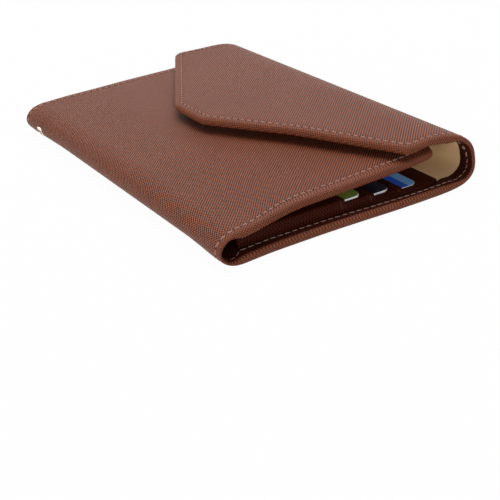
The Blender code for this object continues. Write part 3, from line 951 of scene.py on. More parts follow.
class Sheet:
    """A sheet modelled flat: X runs along the wallet's skin, Y across it and Z into the wallet."""

    def __init__(self, corners: Sequence[Corner], segments: int = 8, trim: float = 0.0) -> None:
        """Lay out the sheet's outline.

        Args:
            corners: the outline, in order.
            segments: edges in each rounded corner.
            trim: how far the sheet's own edge lies inside that outline.
        """
        self.mesh = bmesh.new()
        self.mesh.faces.new([self.mesh.verts.new((c.along, c.across, 0.0)) for c in corners])
        for corner in corners:
            if corner.radius > 0.0:
                self._round(corner, segments)
        if trim > 0.0:
            ring = inset(self.mesh, self.mesh.faces[:][0], trim)
            bmesh.ops.delete(self.mesh, geom=ring, context="FACES")
        self.outline = [vert.co.xy for vert in self.mesh.faces[:][0].verts]
        self.low = self.high = 0.0

    @classmethod
    def rectangle(cls, low: Point, high: Point, radius: float = 0.0, segments: int = 8) -> Sheet:
        """Lay out a rectangle.

        Args:
            low: its lowest corner.
            high: its highest corner.
            radius: the round of its corners.
            segments: edges in each rounded corner.

        Returns:
            The sheet.
        """
        spots = (low, (high[0], low[1]), high, (low[0], high[1]))
        return cls([Corner(*spot, radius) for spot in spots], segments)

    def _round(self, corner: Corner, segments: int) -> None:
        """Round one corner of the outline.

        Args:
            corner: the corner.
            segments: edges in the round.
        """
        spot = Vector((corner.along, corner.across, 0.0))
        vert = min(self.mesh.verts, key=lambda item: (item.co - spot).length)
        one, other = [(edge.other_vert(vert).co - vert.co).normalized() for edge in vert.link_edges]
        cut_back = corner.radius / math.tan(one.angle(other) / 2)
        bevel(self.mesh, [vert], cut_back, segments, "VERTICES")

    def thicken(self, low: float, high: float, roll: float, segments: int) -> None:
        """Make the outline a slab with rolled rims.

        Args:
            low: depth of its outer face.
            high: depth of its inner face.
            roll: radius of its rims.
            segments: edges in each rim.
        """
        bmesh.ops.translate(self.mesh, vec=(0.0, 0.0, low), verts=self.mesh.verts[:])
        extrude(self.mesh, high - low)
        bevel(self.mesh, level_edges(self.mesh), roll, segments)
        self.low, self.high = low, high

    def broad_face(self, inner: bool) -> BMFace:
        """Return the slab's large inner or outer face."""
        sign = 1.0 if inner else -1.0
        level = (face for face in self.mesh.faces if face.normal.z * sign > FLAT)
        return max(level, key=lambda face: face.calc_area())

    def rings(self, inner: bool, profile: Iterable[Point]) -> list[list[Vector]]:
        """Ring one face of the slab with steps that follow its outline.

        Args:
            inner: which face.
            profile: (inset, depth below that face) of each ring, its inset counted from the last.

        Returns:
            Each ring's line, in flat coordinates.
        """
        lines = []
        face = self.broad_face(inner)
        level, sign = (self.high, -1.0) if inner else (self.low, 1.0)
        for width, drop in profile:
            inset(self.mesh, face, width)
            for vert in face.verts:
                vert.co.z = level + sign * drop
            lines.append([vert.co.copy() for vert in face.verts])
        return lines

    def slice(self, along: Iterable[float], across: Iterable[float]) -> None:
        """Cut the sheet's faces, so that it can bend.

        Args:
            along: places along the sheet.
            across: places across it.
        """
        for places, axis in ((along, ALONG), (across, ACROSS)):
            for place in places:
                split_at(self.mesh, place, axis)

    def part(self, low: float, high: float) -> BMesh:
        """Copy a part of the sheet, with closed ends.

        Args:
            low: its first place along the sheet.
            high: its last.

        Returns:
            Its mesh.
        """
        piece = self.mesh.copy()
        for place, axis in ((-low, -ALONG), (high, ALONG)):
            cut = split_at(piece, place, axis, clear=True)
            rim = [item for item in cut if isinstance(item, BMEdge)]
            if rim:
                for edge in rim:
                    edge.smooth = False
                bmesh.ops.edgeloop_fill(piece, edges=rim)
        return piece

    def measured(self, spots: Sequence[Vector]) -> tuple[np.ndarray, np.ndarray]:
        """Measure places against the outline.

        Args:
            spots: flat (along, across) of each place.

        Returns:
            Their distances from the outline, and the directions outwards there.
        """
        ends = np.array([tuple(corner) for corner in self.outline])
        starts = np.roll(ends, 1, axis=0)
        runs = ends - starts
        area = float(np.sum(starts[:, 0] * ends[:, 1] - starts[:, 1] * ends[:, 0]))
        outward = np.stack([runs[:, 1], -runs[:, 0]], axis=1) * math.copysign(1.0, area)
        outward /= np.linalg.norm(outward, axis=1)[:, None]
        places = np.array([tuple(spot) for spot in spots])
        gaps = places[:, None, :] - starts[None]
        shares = np.clip(np.sum(gaps * runs, axis=2) / np.sum(runs * runs, axis=1), 0.0, 1.0)
        distances = np.linalg.norm(gaps - runs * shares[:, :, None], axis=2)
        closest = np.argmin(distances, axis=1)
        return distances[np.arange(len(places)), closest], outward[closest]


# Stitches


class Stitch(NamedTuple):
    """Place of one stitch in flat coordinates, and whether it shows on the inner face."""

    spot: Vector
    heading: float
    level: float
    inner: bool


@dataclass
class Stitching:
    """Saddle stitches laid in a groove, with a needle hole of painted shade between each pair."""

    pitch: float = 3.0 * MM
    length: float = 2.35 * MM
    width: float = 0.76 * MM
    height: float = 0.68 * MM
    slant: float = math.radians(7.0)
    hole: float = 0.54 * MM
    hole_height: float = 0.18 * MM
    hole_seat_share: float = 0.18
    sides: int = 6
    bands: int = 5
    hole_bands: int = 3
    sharp: float = 80.0
    thread: Finish = Finish.THREAD

    def row(self, line: Sequence[Vector], level: float, inner: bool) -> list[Stitch]:
        """Space stitches out along a closed line.

        Args:
            line: the line, in flat coordinates.
            level: depth of the thread's own middle.
            inner: whether the row shows on the inner face.

        Returns:
            The stitches.
        """
        closed = [*line, line[0]]
        total = sum((b.xy - a.xy).length for a, b in zip(closed, closed[1:]))
        count = round(total / self.pitch)
        gap = total / count
        stitches = []
        travelled, wanted = 0.0, gap / 2
        for start, end in zip(closed, closed[1:]):
            run = end.xy - start.xy
            while wanted <= travelled + run.length and len(stitches) < count:
                spot = start.xy + run.normalized() * (wanted - travelled)
                stitches.append(Stitch(spot, math.atan2(run.y, run.x), level, inner))
                wanted += gap
            travelled += run.length
        return stitches

    def pattern(self) -> bpy.types.Mesh:
        """Return the mesh of one stitch along X and the needle hole's painted shade after it, on
        the outer side.
        """
        mesh = bmesh.new()
        bmesh.ops.create_uvsphere(mesh, u_segments=self.sides, v_segments=self.bands, radius=1.0)
        upright = Matrix.Rotation(math.pi / 2, 3, "Y")
        slanted = Matrix.Rotation(self.slant, 3, "Z")
        size = (self.length / 2, self.width / 2, self.height / 2)
        bmesh.ops.rotate(mesh, cent=(0, 0, 0), matrix=upright, verts=mesh.verts[:])
        bmesh.ops.scale(mesh, vec=size, verts=mesh.verts[:])
        bmesh.ops.rotate(mesh, cent=(0, 0, 0), matrix=slanted, verts=mesh.verts[:])
        thread = set(mesh.faces)
        # The needle hole: a flat dark blob of painted shade.
        ball = bmesh.ops.create_uvsphere(
            mesh, u_segments=self.sides, v_segments=self.hole_bands, radius=self.hole
        )["verts"]
        seat = (self.pitch / 2, 0.0, self.height * self.hole_seat_share)
        bmesh.ops.scale(mesh, vec=(1.0, 1.0, self.hole_height / self.hole), verts=ball)
        bmesh.ops.translate(mesh, vec=seat, verts=ball)
        dress_rest(mesh, thread)
        return data_of("stitch", mesh)

    def sew(
        self, stitches: Iterable[Stitch], place: Callable[[Vector], Vector]
    ) -> BMesh:
        """Lay stitches out.

        Args:
            stitches: where they go.
            place: maps flat coordinates to the wallet.

        Returns:
            One mesh of them all.
        """
        pattern = self.pattern()
        thread = bmesh.new()
        for spot, heading, level, inner in stitches:
            done = len(thread.verts)
            thread.from_mesh(pattern)
            frame = Matrix.Translation((spot.x, spot.y, level)) @ Matrix.Rotation(heading, 4, "Z")
            frame = frame @ Matrix.Rotation(math.pi if inner else 0.0, 4, "X")
            thread.verts.ensure_lookup_table()
            for vert in thread.verts[done:]:
                vert.co = place(frame @ vert.co)
        bpy.data.meshes.remove(pattern)
        return thread


class Workshop:
    """Turns flat sheets, stitches and meshes into the scene's objects."""

    def __init__(self, body: Body) -> None:
        """Keep what sheets are wrapped on.

        Args:
            body: the wallet's skin and thickness.
        """
        self.body = body
        self.skin = body.skin
        self.count = 0

    def object(
        self, name: str, mesh: BMesh, finishes: Sequence[Finish], sharp: float = 42.0
    ) -> bpy.types.Object:
        """Make an object of a finished mesh.

        Args:
            name: the object's name.
            mesh: its mesh, in the CAD's frame; it is freed.
            finishes: the finish of each material index.
            sharp: edges sharper than this stay sharp, in degrees.

        Returns:
            The object.
        """
        for face in mesh.faces:
            face.smooth = True
        data = data_of(name, mesh)
        for finish in finishes:
            data.materials.append(finish.value.material())
        data.set_sharp_from_angle(angle=math.radians(sharp))
        self.count += 1
        LOG.info("%s: %d faces", name, len(data.polygons))
        return placed(name, data)

    def wrap(
        self, cut: Cut, sheet: Sheet, finishes: Sequence[Finish], slot: str, nodes: Sequence[str]
    ) -> None:
        """Cut a piece from a flat sheet and wrap it.

        Args:
            cut: the piece.
            sheet: the flat sheet.
            finishes: its finishes.
            slot: not used.
            nodes: the CAD nodes that it stands for.
        """
        piece = sheet.part(cut.low, cut.high)
        chart = piece.loops.layers.uv.new(SHEET_UV)
        rim = piece.verts.layers.float.new(RIM_FIELD)
        distances, outward = sheet.measured([vert.co.xy for vert in piece.verts])
        piece.verts.index_update()
        for vert in piece.verts:
            distance = distances[vert.index]
            vert[rim] = distance
            turned = vert.co.z * (1.0 - eased(distance, *self.body.grain_turn))
            grain = vert.co.xy + Vector(outward[vert.index]) * turned
            for loop in vert.link_loops:
                loop[chart].uv = grain
            vert.co = self.body.place(vert.co)
        item = self.object(cut.name, piece, finishes)
        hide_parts(*nodes)
        self.join(item, cut)

    def join(self, item: bpy.types.Object, cut: Cut) -> None:
        """Bake an object's placement into its mesh; the cut's joint does not bend it."""
        joint = cut.joint
        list(joint.bodies)
        tuple(joint.start)
        tuple(joint.end)
        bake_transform(item)

    def sew(
        self,
        name: str,
        stitching: Stitching,
        stitches: Iterable[Stitch],
        place: Callable[[Vector], Vector],
    ) -> bpy.types.Object:
        """Make one object of a row of stitches.

        Args:
            name: the object's name.
            stitching: how they are made.
            stitches: where they go.
            place: maps flat coordinates to the wallet.

        Returns:
            The object.
        """
        thread = stitching.sew(stitches, place)
        # The holes' second finish is painted shade.
        return self.object(name, thread, [stitching.thread, Finish.NEEDLE_HOLE], stitching.sharp)

    def sew_cut(
        self, name: str, stitching: Stitching, stitches: Iterable[Stitch], cut: Cut
    ) -> None:
        """Sew the stitches that lie in a cut.

        Args:
            name: the object's name.
            stitching: how they are made.
            stitches: all the sheet's stitches.
            cut: the piece that they are sewn through.
        """
        inside = [stitch for stitch in stitches if cut.low <= stitch.spot.x < cut.high]
        self.join(self.sew(name, stitching, inside, self.body.place), cut)


# The wallet's parts


@dataclass
class LeatherShell:
    """The wallet's outer leather, rolled round its boards and sewn round its rim.

    The steps of its faces are (inset, drop) pairs in millimetres. Each face has a row of stitches
    on one of them.
    """

    workshop: Workshop
    thickness: float = 3.2 * MM
    edge_roll: float = 1.35 * MM
    roll_segments: int = 4
    front_corner: float = 6.0 * MM
    fold_far: float = 80.6 * MM
    flap_near: float = -79.8 * MM
    flap_far: float = 80.4 * MM
    root_drop: float = 1.0 * MM
    near_shoulder: float = 27.2 * MM
    far_shoulder: float = 19.4 * MM
    shoulder_corner: float = 6.0 * MM
    near_bend: Point = (4.0 * MM, -36.0 * MM)
    tip_near: float = -4.2 * MM
    tip_far: float = 17.4 * MM
    tip_corner: float = 6.6 * MM
    fold_slice: float = 1.0 * MM
    panel_slice: float = 5.0 * MM
    across_slice: float = 8.0 * MM
    end_inset: float = 2.0 * MM
    hair: float = 0.04 * MM
    spare: float = 5.0 * MM
    turned: float = 1.85 * MM
    fold_turned: float = 0.55 * MM
    turned_from: float = -14.0 * MM
    turned_to: float = -6.0 * MM
    outer_steps: tuple[Point, ...] = (
        (0.75, 0.00), (0.45, 0.06), (0.40, 0.16), (0.40, 0.06), (0.55, -0.04), (1.60, -0.16),
    )
    inner_steps: tuple[Point, ...] = (
        (0.25, 0.10), (0.25, 0.40), (0.20, 0.12), (0.40, 0.02), (0.35, 0.10), (0.35, 0.02),
        (0.90, 0.00), (0.20, 0.10), (0.15, 0.85),
    )
    outer_groove: int = 2
    inner_groove: int = 4
    stitch_depth: float = 0.03 * MM
    stitching: Stitching = field(default_factory=Stitching)
    # The inner row's thread is painted paler, as painted light.
    inner_stitching: Stitching = field(
        default_factory=lambda: Stitching(
            width=0.40 * MM, height=0.32 * MM, hole=0.26 * MM, thread=Finish.PALE_THREAD
        )
    )

    def corners(self) -> list[Corner]:
        """Return the outline of the unrolled leather."""
        skin = self.workshop.skin
        root = skin.starts[Leg.FLAP]
        middle = skin.extreme_right
        near_shoulder, far_shoulder, near_bend = (
            skin.along_at(Leg.FLAP, x)
            for x in (self.near_shoulder, self.far_shoulder, self.near_bend[0])
        )
        return [
            Corner(0.0, skin.near, self.front_corner),
            Corner(middle, skin.near),
            Corner(root, self.flap_near),
            Corner(near_shoulder, self.flap_near, self.shoulder_corner),
            Corner(near_bend, self.near_bend[1]),
            Corner(skin.total, self.tip_near, self.tip_corner),
            Corner(skin.total, self.tip_far, self.tip_corner),
            Corner(far_shoulder, self.flap_far, self.shoulder_corner),
            Corner(root, self.flap_far - self.root_drop),
            Corner(middle, self.fold_far),
            Corner(skin.starts[Leg.RIGHT_FOLD], skin.far),
            Corner(0.0, skin.far, self.front_corner),
        ]

    def slices(self) -> tuple[list[float], list[float]]:
        """Return the places to cut the sheet along and across."""
        skin = self.workshop.skin
        _, fold, back, back_end, lid = skin.starts.values()
        spans = (
            (self.end_inset, fold, self.panel_slice),
            (fold, back, self.fold_slice),
            (back, back_end, self.panel_slice),
            (back_end, lid, self.fold_slice),
            (lid, skin.total - self.end_inset, self.panel_slice),
        )
        places = {
            extreme + side * self.hair
            for extreme in (skin.extreme_left, skin.extreme_right)
            for side in (-1.0, 1.0)
        }
        for low, high, step in spans:
            places.update(spread(low, high, max(1, round((high - low) / step))))
        count = round((skin.far - skin.near) / self.across_slice)
        return sorted(places), spread(skin.near, skin.far, count)[1:-1]

    def cuts(self) -> list[Cut]:
        """Return the leather's pieces in order along the skin."""
        skin = self.workshop.skin
        middle_back = skin.along_at(Leg.BACK, 0.0)
        end = skin.total + self.spare
        marks = (-self.spare, skin.extreme_left, middle_back, skin.extreme_right, end)
        names = ("front_leather", "left_fold_leather", "right_fold_leather", "flap_leather")
        return [Cut(*values) for values in zip(names, marks, marks[1:], skin.bends())]

    def face_inside(self, sheet: Sheet) -> None:
        """Give the second finish, the leather in painted shade, to the inside, but not where the
        outer leather is turned over it.

        Args:
            sheet: the leather.
        """
        skin = self.workshop.skin
        centred = ((face, face.calc_center_median()) for face in sheet.mesh.faces)
        inside = [(face, middle) for face, middle in centred if middle.z > self.thickness / 2]
        distances, _ = sheet.measured([middle.xy for _, middle in inside])
        start = skin.starts[Leg.RIGHT_FOLD] + self.turned_from
        end = skin.extreme_right + self.turned_to
        for (face, middle), distance in zip(inside, distances):
            limit = self.turned + (self.fold_turned - self.turned) * eased(middle.x, start, end)
            face.material_index = int(distance > limit)

    def build(self) -> None:
        """Make the leather and its stitches."""
        sheet = Sheet(self.corners())
        sheet.thicken(0.0, self.thickness, self.edge_roll, self.roll_segments)
        outer = sheet.rings(False, in_metres(self.outer_steps))[self.outer_groove]
        inner = sheet.rings(True, in_metres(self.inner_steps))[self.inner_groove]
        sheet.slice(*self.slices())
        self.face_inside(sheet)
        nodes = (
            ("front_cover", "front_board", "front_magnet"),
            ("back_cover", "back_board", "left_spine_cover"),
            ("right_spine_cover",),
            ("flap_cover", "flap_board", "flap_magnet"),
        )
        seams = (
            ("stitching", self.stitching, self.stitching.row(outer, self.stitch_depth, False)),
            (
                "inner_stitching",
                self.inner_stitching,
                self.inner_stitching.row(inner, self.thickness, True),
            ),
        )
        # The second finish paints the inside's shade.
        finishes = (Finish.LEATHER, Finish.INNER_LEATHER)
        for cut, stands_for in zip(self.cuts(), nodes):
            self.workshop.wrap(cut, sheet, finishes, "leather", stands_for)
            for kind, stitching, stitches in seams:
                name = cut.name.replace("leather", kind)
                self.workshop.sew_cut(name, stitching, stitches, cut)
        sheet.mesh.free()


@dataclass
class Linings:
    """The plies inside the front panel, both folds and the flap: cloth, but leather in painted
    shade on the left.
    """

    workshop: Workshop
    shell: LeatherShell
    inset: float = 4.42 * MM
    low: float = 2.40 * MM
    high: float = 2.95 * MM
    edge_roll: float = 0.14 * MM
    roll_segments: int = 2
    left_x: float = -43.8 * MM
    right_x: float = 42.8 * MM

    def build(self) -> None:
        """Make the four plies."""
        skin = self.workshop.skin
        sheet = Sheet(self.shell.corners(), trim=self.inset)
        sheet.thicken(self.low, self.high, self.edge_roll, self.roll_segments)
        sheet.slice(*self.shell.slices())
        left_end = skin.along_at(Leg.BACK, self.left_x)
        right_end = skin.along_at(Leg.RIGHT_FOLD, self.right_x)
        left, right = skin.extreme_left, skin.extreme_right
        # The left ply is leather in painted shade.
        cloth, leather = (Finish.LINING, "lining"), (Finish.INNER_LEATHER, "inner_leather")
        pieces = (
            ("front_lining_cloth", 0.0, left, "front_lining", cloth),
            ("left_fold_lining", left, left_end, "left_spine_lining", leather),
            ("right_fold_cloth", right_end, right, "right_spine_lining", cloth),
            ("flap_lining_cloth", right, skin.total, "flap_lining", cloth),
        )
        for (name, low, high, node, (finish, slot)), joint in zip(pieces, skin.bends()):
            self.workshop.wrap(Cut(name, low, high, joint), sheet, [finish], slot, [node])
        sheet.mesh.free()


@dataclass
class FlatLeather:
    """A rectangular ply of inner leather in painted shade, sewn flat inside the wallet.

    Its ends are places on legs of the skin, and its joint is counted along the skin. The steps of
    its seam are (inset, drop) pairs in millimetres.
    """

    workshop: Workshop
    name: str
    node: str
    joint: int
    left_end: tuple[Leg, float]
    right_end: tuple[Leg, float]
    half_width: float
    low: float
    high: float
    edge_roll: float = 0.25 * MM
    roll_segments: int = 3
    slice_step: float = 4.0 * MM
    spare: float = 1.0 * MM
    seam_inset: float = 0.0
    seam_steps: tuple[Point, ...] = ((0.4, 0.12), (0.4, 0.0))
    seam_groove: int = 1
    stitch_depth: float = 0.03 * MM
    stitching: Stitching = field(default_factory=Stitching)

    def build(self) -> None:
        """Make the ply, and a row of stitches round it if it has a seam."""
        skin, half = self.workshop.skin, self.half_width
        start, end = sorted(skin.along_at(*place) for place in (self.left_end, self.right_end))
        sheet = Sheet.rectangle((start, -half), (end, half))
        sheet.thicken(self.low, self.high, self.edge_roll, self.roll_segments)
        cut = Cut(self.name, start - self.spare, end + self.spare, skin.bends()[self.joint])
        lines = []
        if self.seam_inset:
            rim = (self.seam_inset - self.edge_roll, 0.0)
            lines = sheet.rings(True, [rim, *in_metres(self.seam_steps)])
        columns = round((end - start) / self.slice_step)
        rows = round(2 * half / self.slice_step / 2)
        sheet.slice(spread(start, end, columns)[1:-1], spread(-half, half, rows)[1:-1])
        self.workshop.wrap(cut, sheet, [Finish.INNER_LEATHER], "inner_leather", [self.node])
        if lines:
            level = self.high - self.stitch_depth
            stitches = self.stitching.row(lines[self.seam_groove], level, True)
            self.workshop.sew_cut(f"{self.name}_stitching", self.stitching, stitches, cut)
        sheet.mesh.free()


@dataclass
class CardSlots:
    """Three tiers of soft leather in painted shade, each sewn down at both ends and between its two
    pockets.
    """

    workshop: Workshop
    tiers: int = 3
    near: float = -77.4 * MM
    far: float = 77.4 * MM
    leather: float = 0.48 * MM
    stack: float = 0.52 * MM
    base: float = 2.92 * MM
    rise_width: float = 2.4 * MM
    rise_steps: int = 12
    seam_y: float = 12.25 * MM
    seam_floor: float = 0.25 * MM
    seam_half: float = 1.35 * MM
    seam_lift: float = 0.1
    spare_lift: float = 0.6
    spare_ease: float = 3.0 * MM
    end_break: float = 0.3 * MM
    mouth_roll: float = 0.2 * MM
    roll_segments: int = 3
    mouth_band: float = 0.8 * MM
    mouth_seam: float = 2.0 * MM
    step: float = 4.0 * MM
    across_step: float = 10.0 * MM
    stitch_depth: float = 0.02 * MM
    # The slots' thread is dark with painted shade.
    stitching: Stitching = field(
        default_factory=lambda: Stitching(
            width=0.42 * MM, height=0.30 * MM, hole=0.22 * MM, thread=Finish.DARK_THREAD
        )
    )

    def lift(self, y: float) -> float:
        """Find how much of its full height a tier has.

        Args:
            y: a place along the folds.

        Returns:
            The share of the height there.
        """
        ends = eased(y, self.near, self.near + self.rise_width)
        ends *= eased(-y, -self.far, -self.far + self.rise_width)
        raised = eased(abs(y - self.seam_y), self.seam_floor, self.seam_half)
        seam = self.seam_lift + (1.0 - self.seam_lift) * raised
        past_seam = eased(y, self.seam_y, self.seam_y + self.spare_ease)
        return ends * seam * (1.0 - (1.0 - self.spare_lift) * past_seam)

    def breaks(self) -> list[float]:
        """Return where a tier is cut across, closely at its seams."""
        places = [self.seam_y + self.spare_ease, self.near + self.end_break]
        for index in range(self.rise_steps + 1):
            share = index / self.rise_steps
            places += [self.near + self.rise_width * share, self.far - self.rise_width * share]
            places += [self.seam_y - self.seam_half * share, self.seam_y + self.seam_half * share]
        between = int((self.far - self.near) / self.across_step)
        places += [self.near + self.across_step * index for index in range(1, between)]
        return sorted(places)

    def build(self) -> None:
        """Make the tiers."""
        for number in range(1, self.tiers + 1):
            low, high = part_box(f"card_slot_{number}")
            seat = self.base + (self.tiers - number) * self.stack
            self.tier(number, (low.x, high.x), (seat, high.z))
            self.seam(number, high.x, (seat, high.z))

    def tier(self, number: int, reach: Point, heights: Point) -> None:
        """Make one tier.

        Args:
            number: its number, from the top.
            reach: X of its left edge and of its mouth.
            heights: its lowest height and its full one.
        """
        left, mouth = reach
        mesh = bmesh.new()
        columns = round((mouth - left) / self.step)
        size = (mouth - left, self.far - self.near, 1.0)
        middle = ((mouth + left) / 2, (self.near + self.far) / 2, 0.0)
        bmesh.ops.create_grid(mesh, x_segments=columns, y_segments=2, size=0.5)
        bmesh.ops.scale(mesh, vec=size, verts=mesh.verts[:])
        bmesh.ops.translate(mesh, vec=middle, verts=mesh.verts[:])
        for place in self.breaks():
            split_at(mesh, place, ACROSS)
        split_at(mesh, mouth - self.mouth_band, ALONG)
        extrude(mesh, -self.leather)
        rims = [
            edge
            for edge in level_edges(mesh)
            if all(abs(vert.co.x - mouth) < SLACK for vert in edge.verts)
        ]
        bevel(mesh, rims, self.mouth_roll, self.roll_segments)
        chart = mesh.loops.layers.uv.new(SHEET_UV)
        rim = mesh.verts.layers.float.new(RIM_FIELD)
        for vert in mesh.verts:
            for loop in vert.link_loops:
                loop[chart].uv = (vert.co.x + vert.co.z, vert.co.y)
            vert[rim] = mouth - vert.co.x
            vert.co.z += self.height(vert.co.y, heights)
        # The tier's leather is in painted shade.
        item = self.workshop.object(f"card_slot_{number}_leather", mesh, [Finish.INNER_LEATHER])
        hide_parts(f"card_slot_{number}")
        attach(item, "back")

    def height(self, y: float, heights: Point) -> float:
        """Return a tier's height at a place along the folds, between its lowest and full ones."""
        return heights[0] + (heights[1] - heights[0]) * self.lift(y)

    def seam(self, number: int, mouth: float, heights: Point) -> None:
        """Sew a line along a tier's mouth.

        Args:
            number: the tier's number.
            mouth: X of its mouth.
            heights: its lowest height and its full one.
        """
        count = round((self.far - self.near) / self.stitching.pitch)
        gap = (self.far - self.near) / count
        x = mouth - self.mouth_seam
        spots = (Vector((x, self.near + (index + 0.5) * gap)) for index in range(count))
        row = [Stitch(spot, math.pi / 2, self.stitch_depth, True) for spot in spots]

        def settle(spot: Vector) -> Vector:
            """Set a place of the row on the tier."""
            return spot + Vector((0.0, 0.0, self.height(spot.y, heights)))

        name = f"card_slot_{number}_stitching"
        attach(self.workshop.sew(name, self.stitching, row, settle), "back")


@dataclass
class Cards:
    """Plain bank cards: a white core between two coloured faces."""

    workshop: Workshop
    corner: float = 3.18 * MM
    corner_segments: int = 10
    face_edge: float = 0.07 * MM
    edge_segments: int = 2
    sharp: float = 50.0
    finishes: tuple[tuple[Finish, str], ...] = (
        (Finish.GREEN, "green_card"),
        (Finish.DARK, "dark_card"),
        (Finish.BLUE, "blue_card"),
    )

    def build(self) -> None:
        """Make the three cards in their CAD places."""
        for number, (finish, slot) in enumerate(self.finishes, start=1):
            low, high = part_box(f"card_{number}")
            sheet = Sheet.rectangle(low.xy, high.xy, self.corner, self.corner_segments)
            sheet.thicken(low.z, high.z, self.face_edge, self.edge_segments)
            dress_rest(sheet.mesh, {face for face in sheet.mesh.faces if abs(face.normal.z) > FLAT})
            finishes = [finish, Finish.CARD_CORE]
            item = self.workshop.object(f"bank_card_{number}", sheet.mesh, finishes, self.sharp)
            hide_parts(f"card_{number}")
            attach(item, f"card_{number}")


@dataclass
class Eyelet:
    """Pale metal eyelet, rolled over a small tube, low on the left fold.

    Its profile is (radius, height) pairs in millimetres.
    """

    workshop: Workshop
    y: float = 68.4 * MM
    tilt: float = math.radians(19.0)
    profile: tuple[Point, ...] = (
        (1.25, -2.3), (1.25, 0.06), (1.36, 0.24), (1.60, 0.34), (1.95, 0.33), (2.30, 0.22),
        (2.50, 0.02), (2.50, -0.25), (1.60, -0.25), (1.60, -1.9), (2.20, -1.9), (2.20, -2.3),
    )
    bore: float = 1.30 * MM
    bore_height: float = 0.14 * MM
    bore_sides: int = 24
    bend_radius: float = 5.5 * MM
    steps: int = 40
    search_steps: int = 400
    sharp: float = 40.0

    def turned(self) -> BMesh:
        """Return the eyelet and a dark disc of painted shade in its bore, turned about Z."""
        mesh = bmesh.new()
        ring = [mesh.verts.new((radius, 0.0, z)) for radius, z in in_metres(self.profile)]
        edges = [mesh.edges.new(pair) for pair in zip(ring, ring[1:] + ring[:1])]
        bmesh.ops.spin(
            mesh, geom=ring + edges, cent=(0, 0, 0), axis=(0, 0, 1), angle=2 * math.pi,
            steps=self.steps, use_merge=True, use_normal_flip=False, dvec=(0, 0, 0),
        )
        bmesh.ops.remove_doubles(mesh, verts=mesh.verts[:], dist=CLOSE)
        bmesh.ops.recalc_face_normals(mesh, faces=mesh.faces[:])
        metal = set(mesh.faces)
        # Painted shade: a dark disc across the bore.
        disc = bmesh.ops.create_circle(
            mesh, cap_ends=True, segments=self.bore_sides, radius=self.bore
        )["verts"]
        bmesh.ops.translate(mesh, vec=(0.0, 0.0, self.bore_height), verts=disc)
        dress_rest(mesh, metal)
        return mesh

    def build(self) -> None:
        """Set the eyelet in the leather, bent to the fold."""
        body, skin = self.workshop.body, self.workshop.skin
        mesh = self.turned()
        for vert in mesh.verts:
            vert.co.z -= vert.co.x**2 / (2 * self.bend_radius)
        cos, sin = math.cos(self.tilt), math.sin(self.tilt)
        places = spread(skin.extreme_left, skin.starts[Leg.BACK], self.search_steps)
        along = max(places, key=lambda place: skin.inward(place).dot(Vector((cos, sin))))
        seat = Matrix.Translation(body.place(Vector((along, self.y, 0.0))))
        turn = Vector((-cos, 0.0, -sin)).to_track_quat("Z", "Y").to_matrix().to_4x4()
        bmesh.ops.transform(mesh, matrix=seat @ turn, verts=mesh.verts[:])
        # The bore's disc is painted shade.
        finishes = [Finish.METAL, Finish.NEEDLE_HOLE]
        item = self.workshop.object("strap_eyelet_metal", mesh, finishes, self.sharp)
        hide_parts("strap_eyelet")
        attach(item, "left_spine")


# The studio


@dataclass(frozen=True)
class Lamp:
    """A soft box: its place, what it faces, its width and height, and its watts."""

    name: str
    place: Triple
    aim: Triple
    size: Point
    power: float

    def hang(self) -> None:
        """Put the lamp in the scene."""
        data = bpy.data.lights.new(self.name, "AREA")
        data.shape = "RECTANGLE"
        data.size, data.size_y = self.size
        data.energy = self.power
        item = placed(self.name, data)
        item.rotation_mode = "QUATERNION"
        item.rotation_quaternion = (Vector(self.aim) - Vector(self.place)).to_track_quat("-Z", "Y")
        item.location = self.place


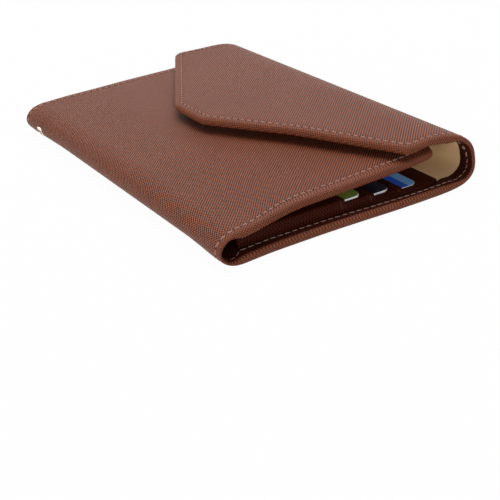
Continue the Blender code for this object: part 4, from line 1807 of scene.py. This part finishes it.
@dataclass
class Studio:
    """Camera, floor, lamps and world."""

    place: Triple = (-0.20566968, -0.35003367, 0.16627249)
    right: Triple = (0.83963463, -0.54024808, -0.05608654)
    up: Triple = (0.29156629, 0.36118807, 0.88573827)
    back: Triple = (-0.4582606, -0.76004947, 0.46078414)
    lens: float = 75.80
    sensor: float = 36.0
    clip: Point = (0.01, 20.0)
    floor_size: float = 4.0
    floor_scale: float = 4.0
    floor_dark: Colour = (0.66, 0.66, 0.66)
    floor_light: Colour = (0.70, 0.70, 0.70)
    floor_whiteness: float = 0.975
    fill: tuple[float, float, float, float] = (0.96, 0.98, 1.0, 1.0)
    fill_strength: float = 0.09
    lamps: tuple[Lamp, ...] = (
        Lamp("overhead", (0.17, 0.24, 1.0), (0.0, 0.0, 0.0), (0.9, 0.9), 12.2),
        Lamp("back_right", (0.68, 1.05, 0.78), (0.0, 0.0, 0.02), (0.9, 0.6), 0.6),
        Lamp("front_left", (-0.88, -0.78, 0.16), (0.0, 0.0, 0.01), (0.8, 0.22), 3.3),
        Lamp("front_right", (0.50, -1.05, 0.40), (0.0, 0.0, 0.0), (0.6, 0.4), 3.2),
        Lamp("left_low", (-1.20, 0.20, 0.14), (0.0, 0.0, 0.0), (0.8, 0.22), 5.8),
    )

    def camera(self) -> None:
        """Set the photograph's camera."""
        data = bpy.data.cameras.new("camera")
        data.sensor_width = self.sensor
        data.sensor_fit = "HORIZONTAL"
        data.lens = self.lens
        data.clip_start, data.clip_end = self.clip
        item = placed("camera", data)
        turn = Matrix((self.right, self.up, self.back)).transposed().to_4x4()
        item.matrix_world = Matrix.Translation(self.place) @ turn
        bpy.context.scene.camera = item

    def floor(self) -> None:
        """Lay the pale floor."""
        mesh = bmesh.new()
        bmesh.ops.create_grid(mesh, x_segments=2, y_segments=2, size=self.floor_size / 2)
        data = data_of("floor", mesh)
        recipe = Recipe(bpy.data.materials.new("floor"))
        grain = recipe.noise(recipe.add("ShaderNodeTexCoord", {}, {}, "Object"), self.floor_scale)
        tone = recipe.mix(grain, self.floor_dark, self.floor_light)
        cloth = recipe.add("ShaderNodeBsdfDiffuse", {}, {"Color": tone})
        glow = recipe.add("ShaderNodeEmission", {}, {"Color": WHITE, "Strength": 1.0})
        recipe.close(recipe.backdrop(cloth, glow, self.floor_whiteness))
        data.materials.append(recipe.owner)
        placed("floor", data)

    def world(self) -> None:
        """Surround the scene with white, which lights it as a weak fill."""
        world = bpy.data.worlds.new("studio")
        bpy.context.scene.world = world
        recipe = Recipe(world)
        fill, white = (
            recipe.add("ShaderNodeBackground", {}, {"Color": colour, "Strength": strength})
            for colour, strength in ((self.fill, self.fill_strength), (WHITE, 1.0))
        )
        recipe.close(recipe.backdrop(fill, white, 1.0), "ShaderNodeOutputWorld")

    def build(self) -> None:
        """Set everything up."""
        self.camera()
        self.floor()
        self.world()
        for lamp in self.lamps:
            lamp.hang()
        bpy.context.scene.view_settings.view_transform = "Standard"


def main() -> None:
    """Dress the wallet."""
    logging.basicConfig(level=logging.INFO, format="%(name)s %(message)s")
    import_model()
    Studio().build()
    workshop = Workshop(Body(Skin()))
    shell = LeatherShell(workshop)
    shell.build()
    Linings(workshop, shell).build()
    FlatLeather(
        workshop,
        name="card_panel_leather",
        node="card_panel",
        joint=2,
        left_end=(Leg.BACK, -43.9 * MM),
        right_end=(Leg.RIGHT_FOLD, 43.5 * MM),
        half_width=77.5 * MM,
        low=2.40 * MM,
        high=3.0 * MM,
    ).build()
    FlatLeather(
        workshop,
        name="passport_pocket_leather",
        node="passport_pocket",
        joint=0,
        left_end=(Leg.FRONT, -44.5 * MM),
        right_end=(Leg.FRONT, 26.0 * MM),
        half_width=77.8 * MM,
        low=3.25 * MM,
        high=4.85 * MM,
        edge_roll=0.6 * MM,
        seam_inset=2.6 * MM,
    ).build()
    CardSlots(workshop).build()
    Cards(workshop).build()
    Eyelet(workshop).build()
    LOG.info("%d pieces", workshop.count)


if __name__ == "__main__":
    main()
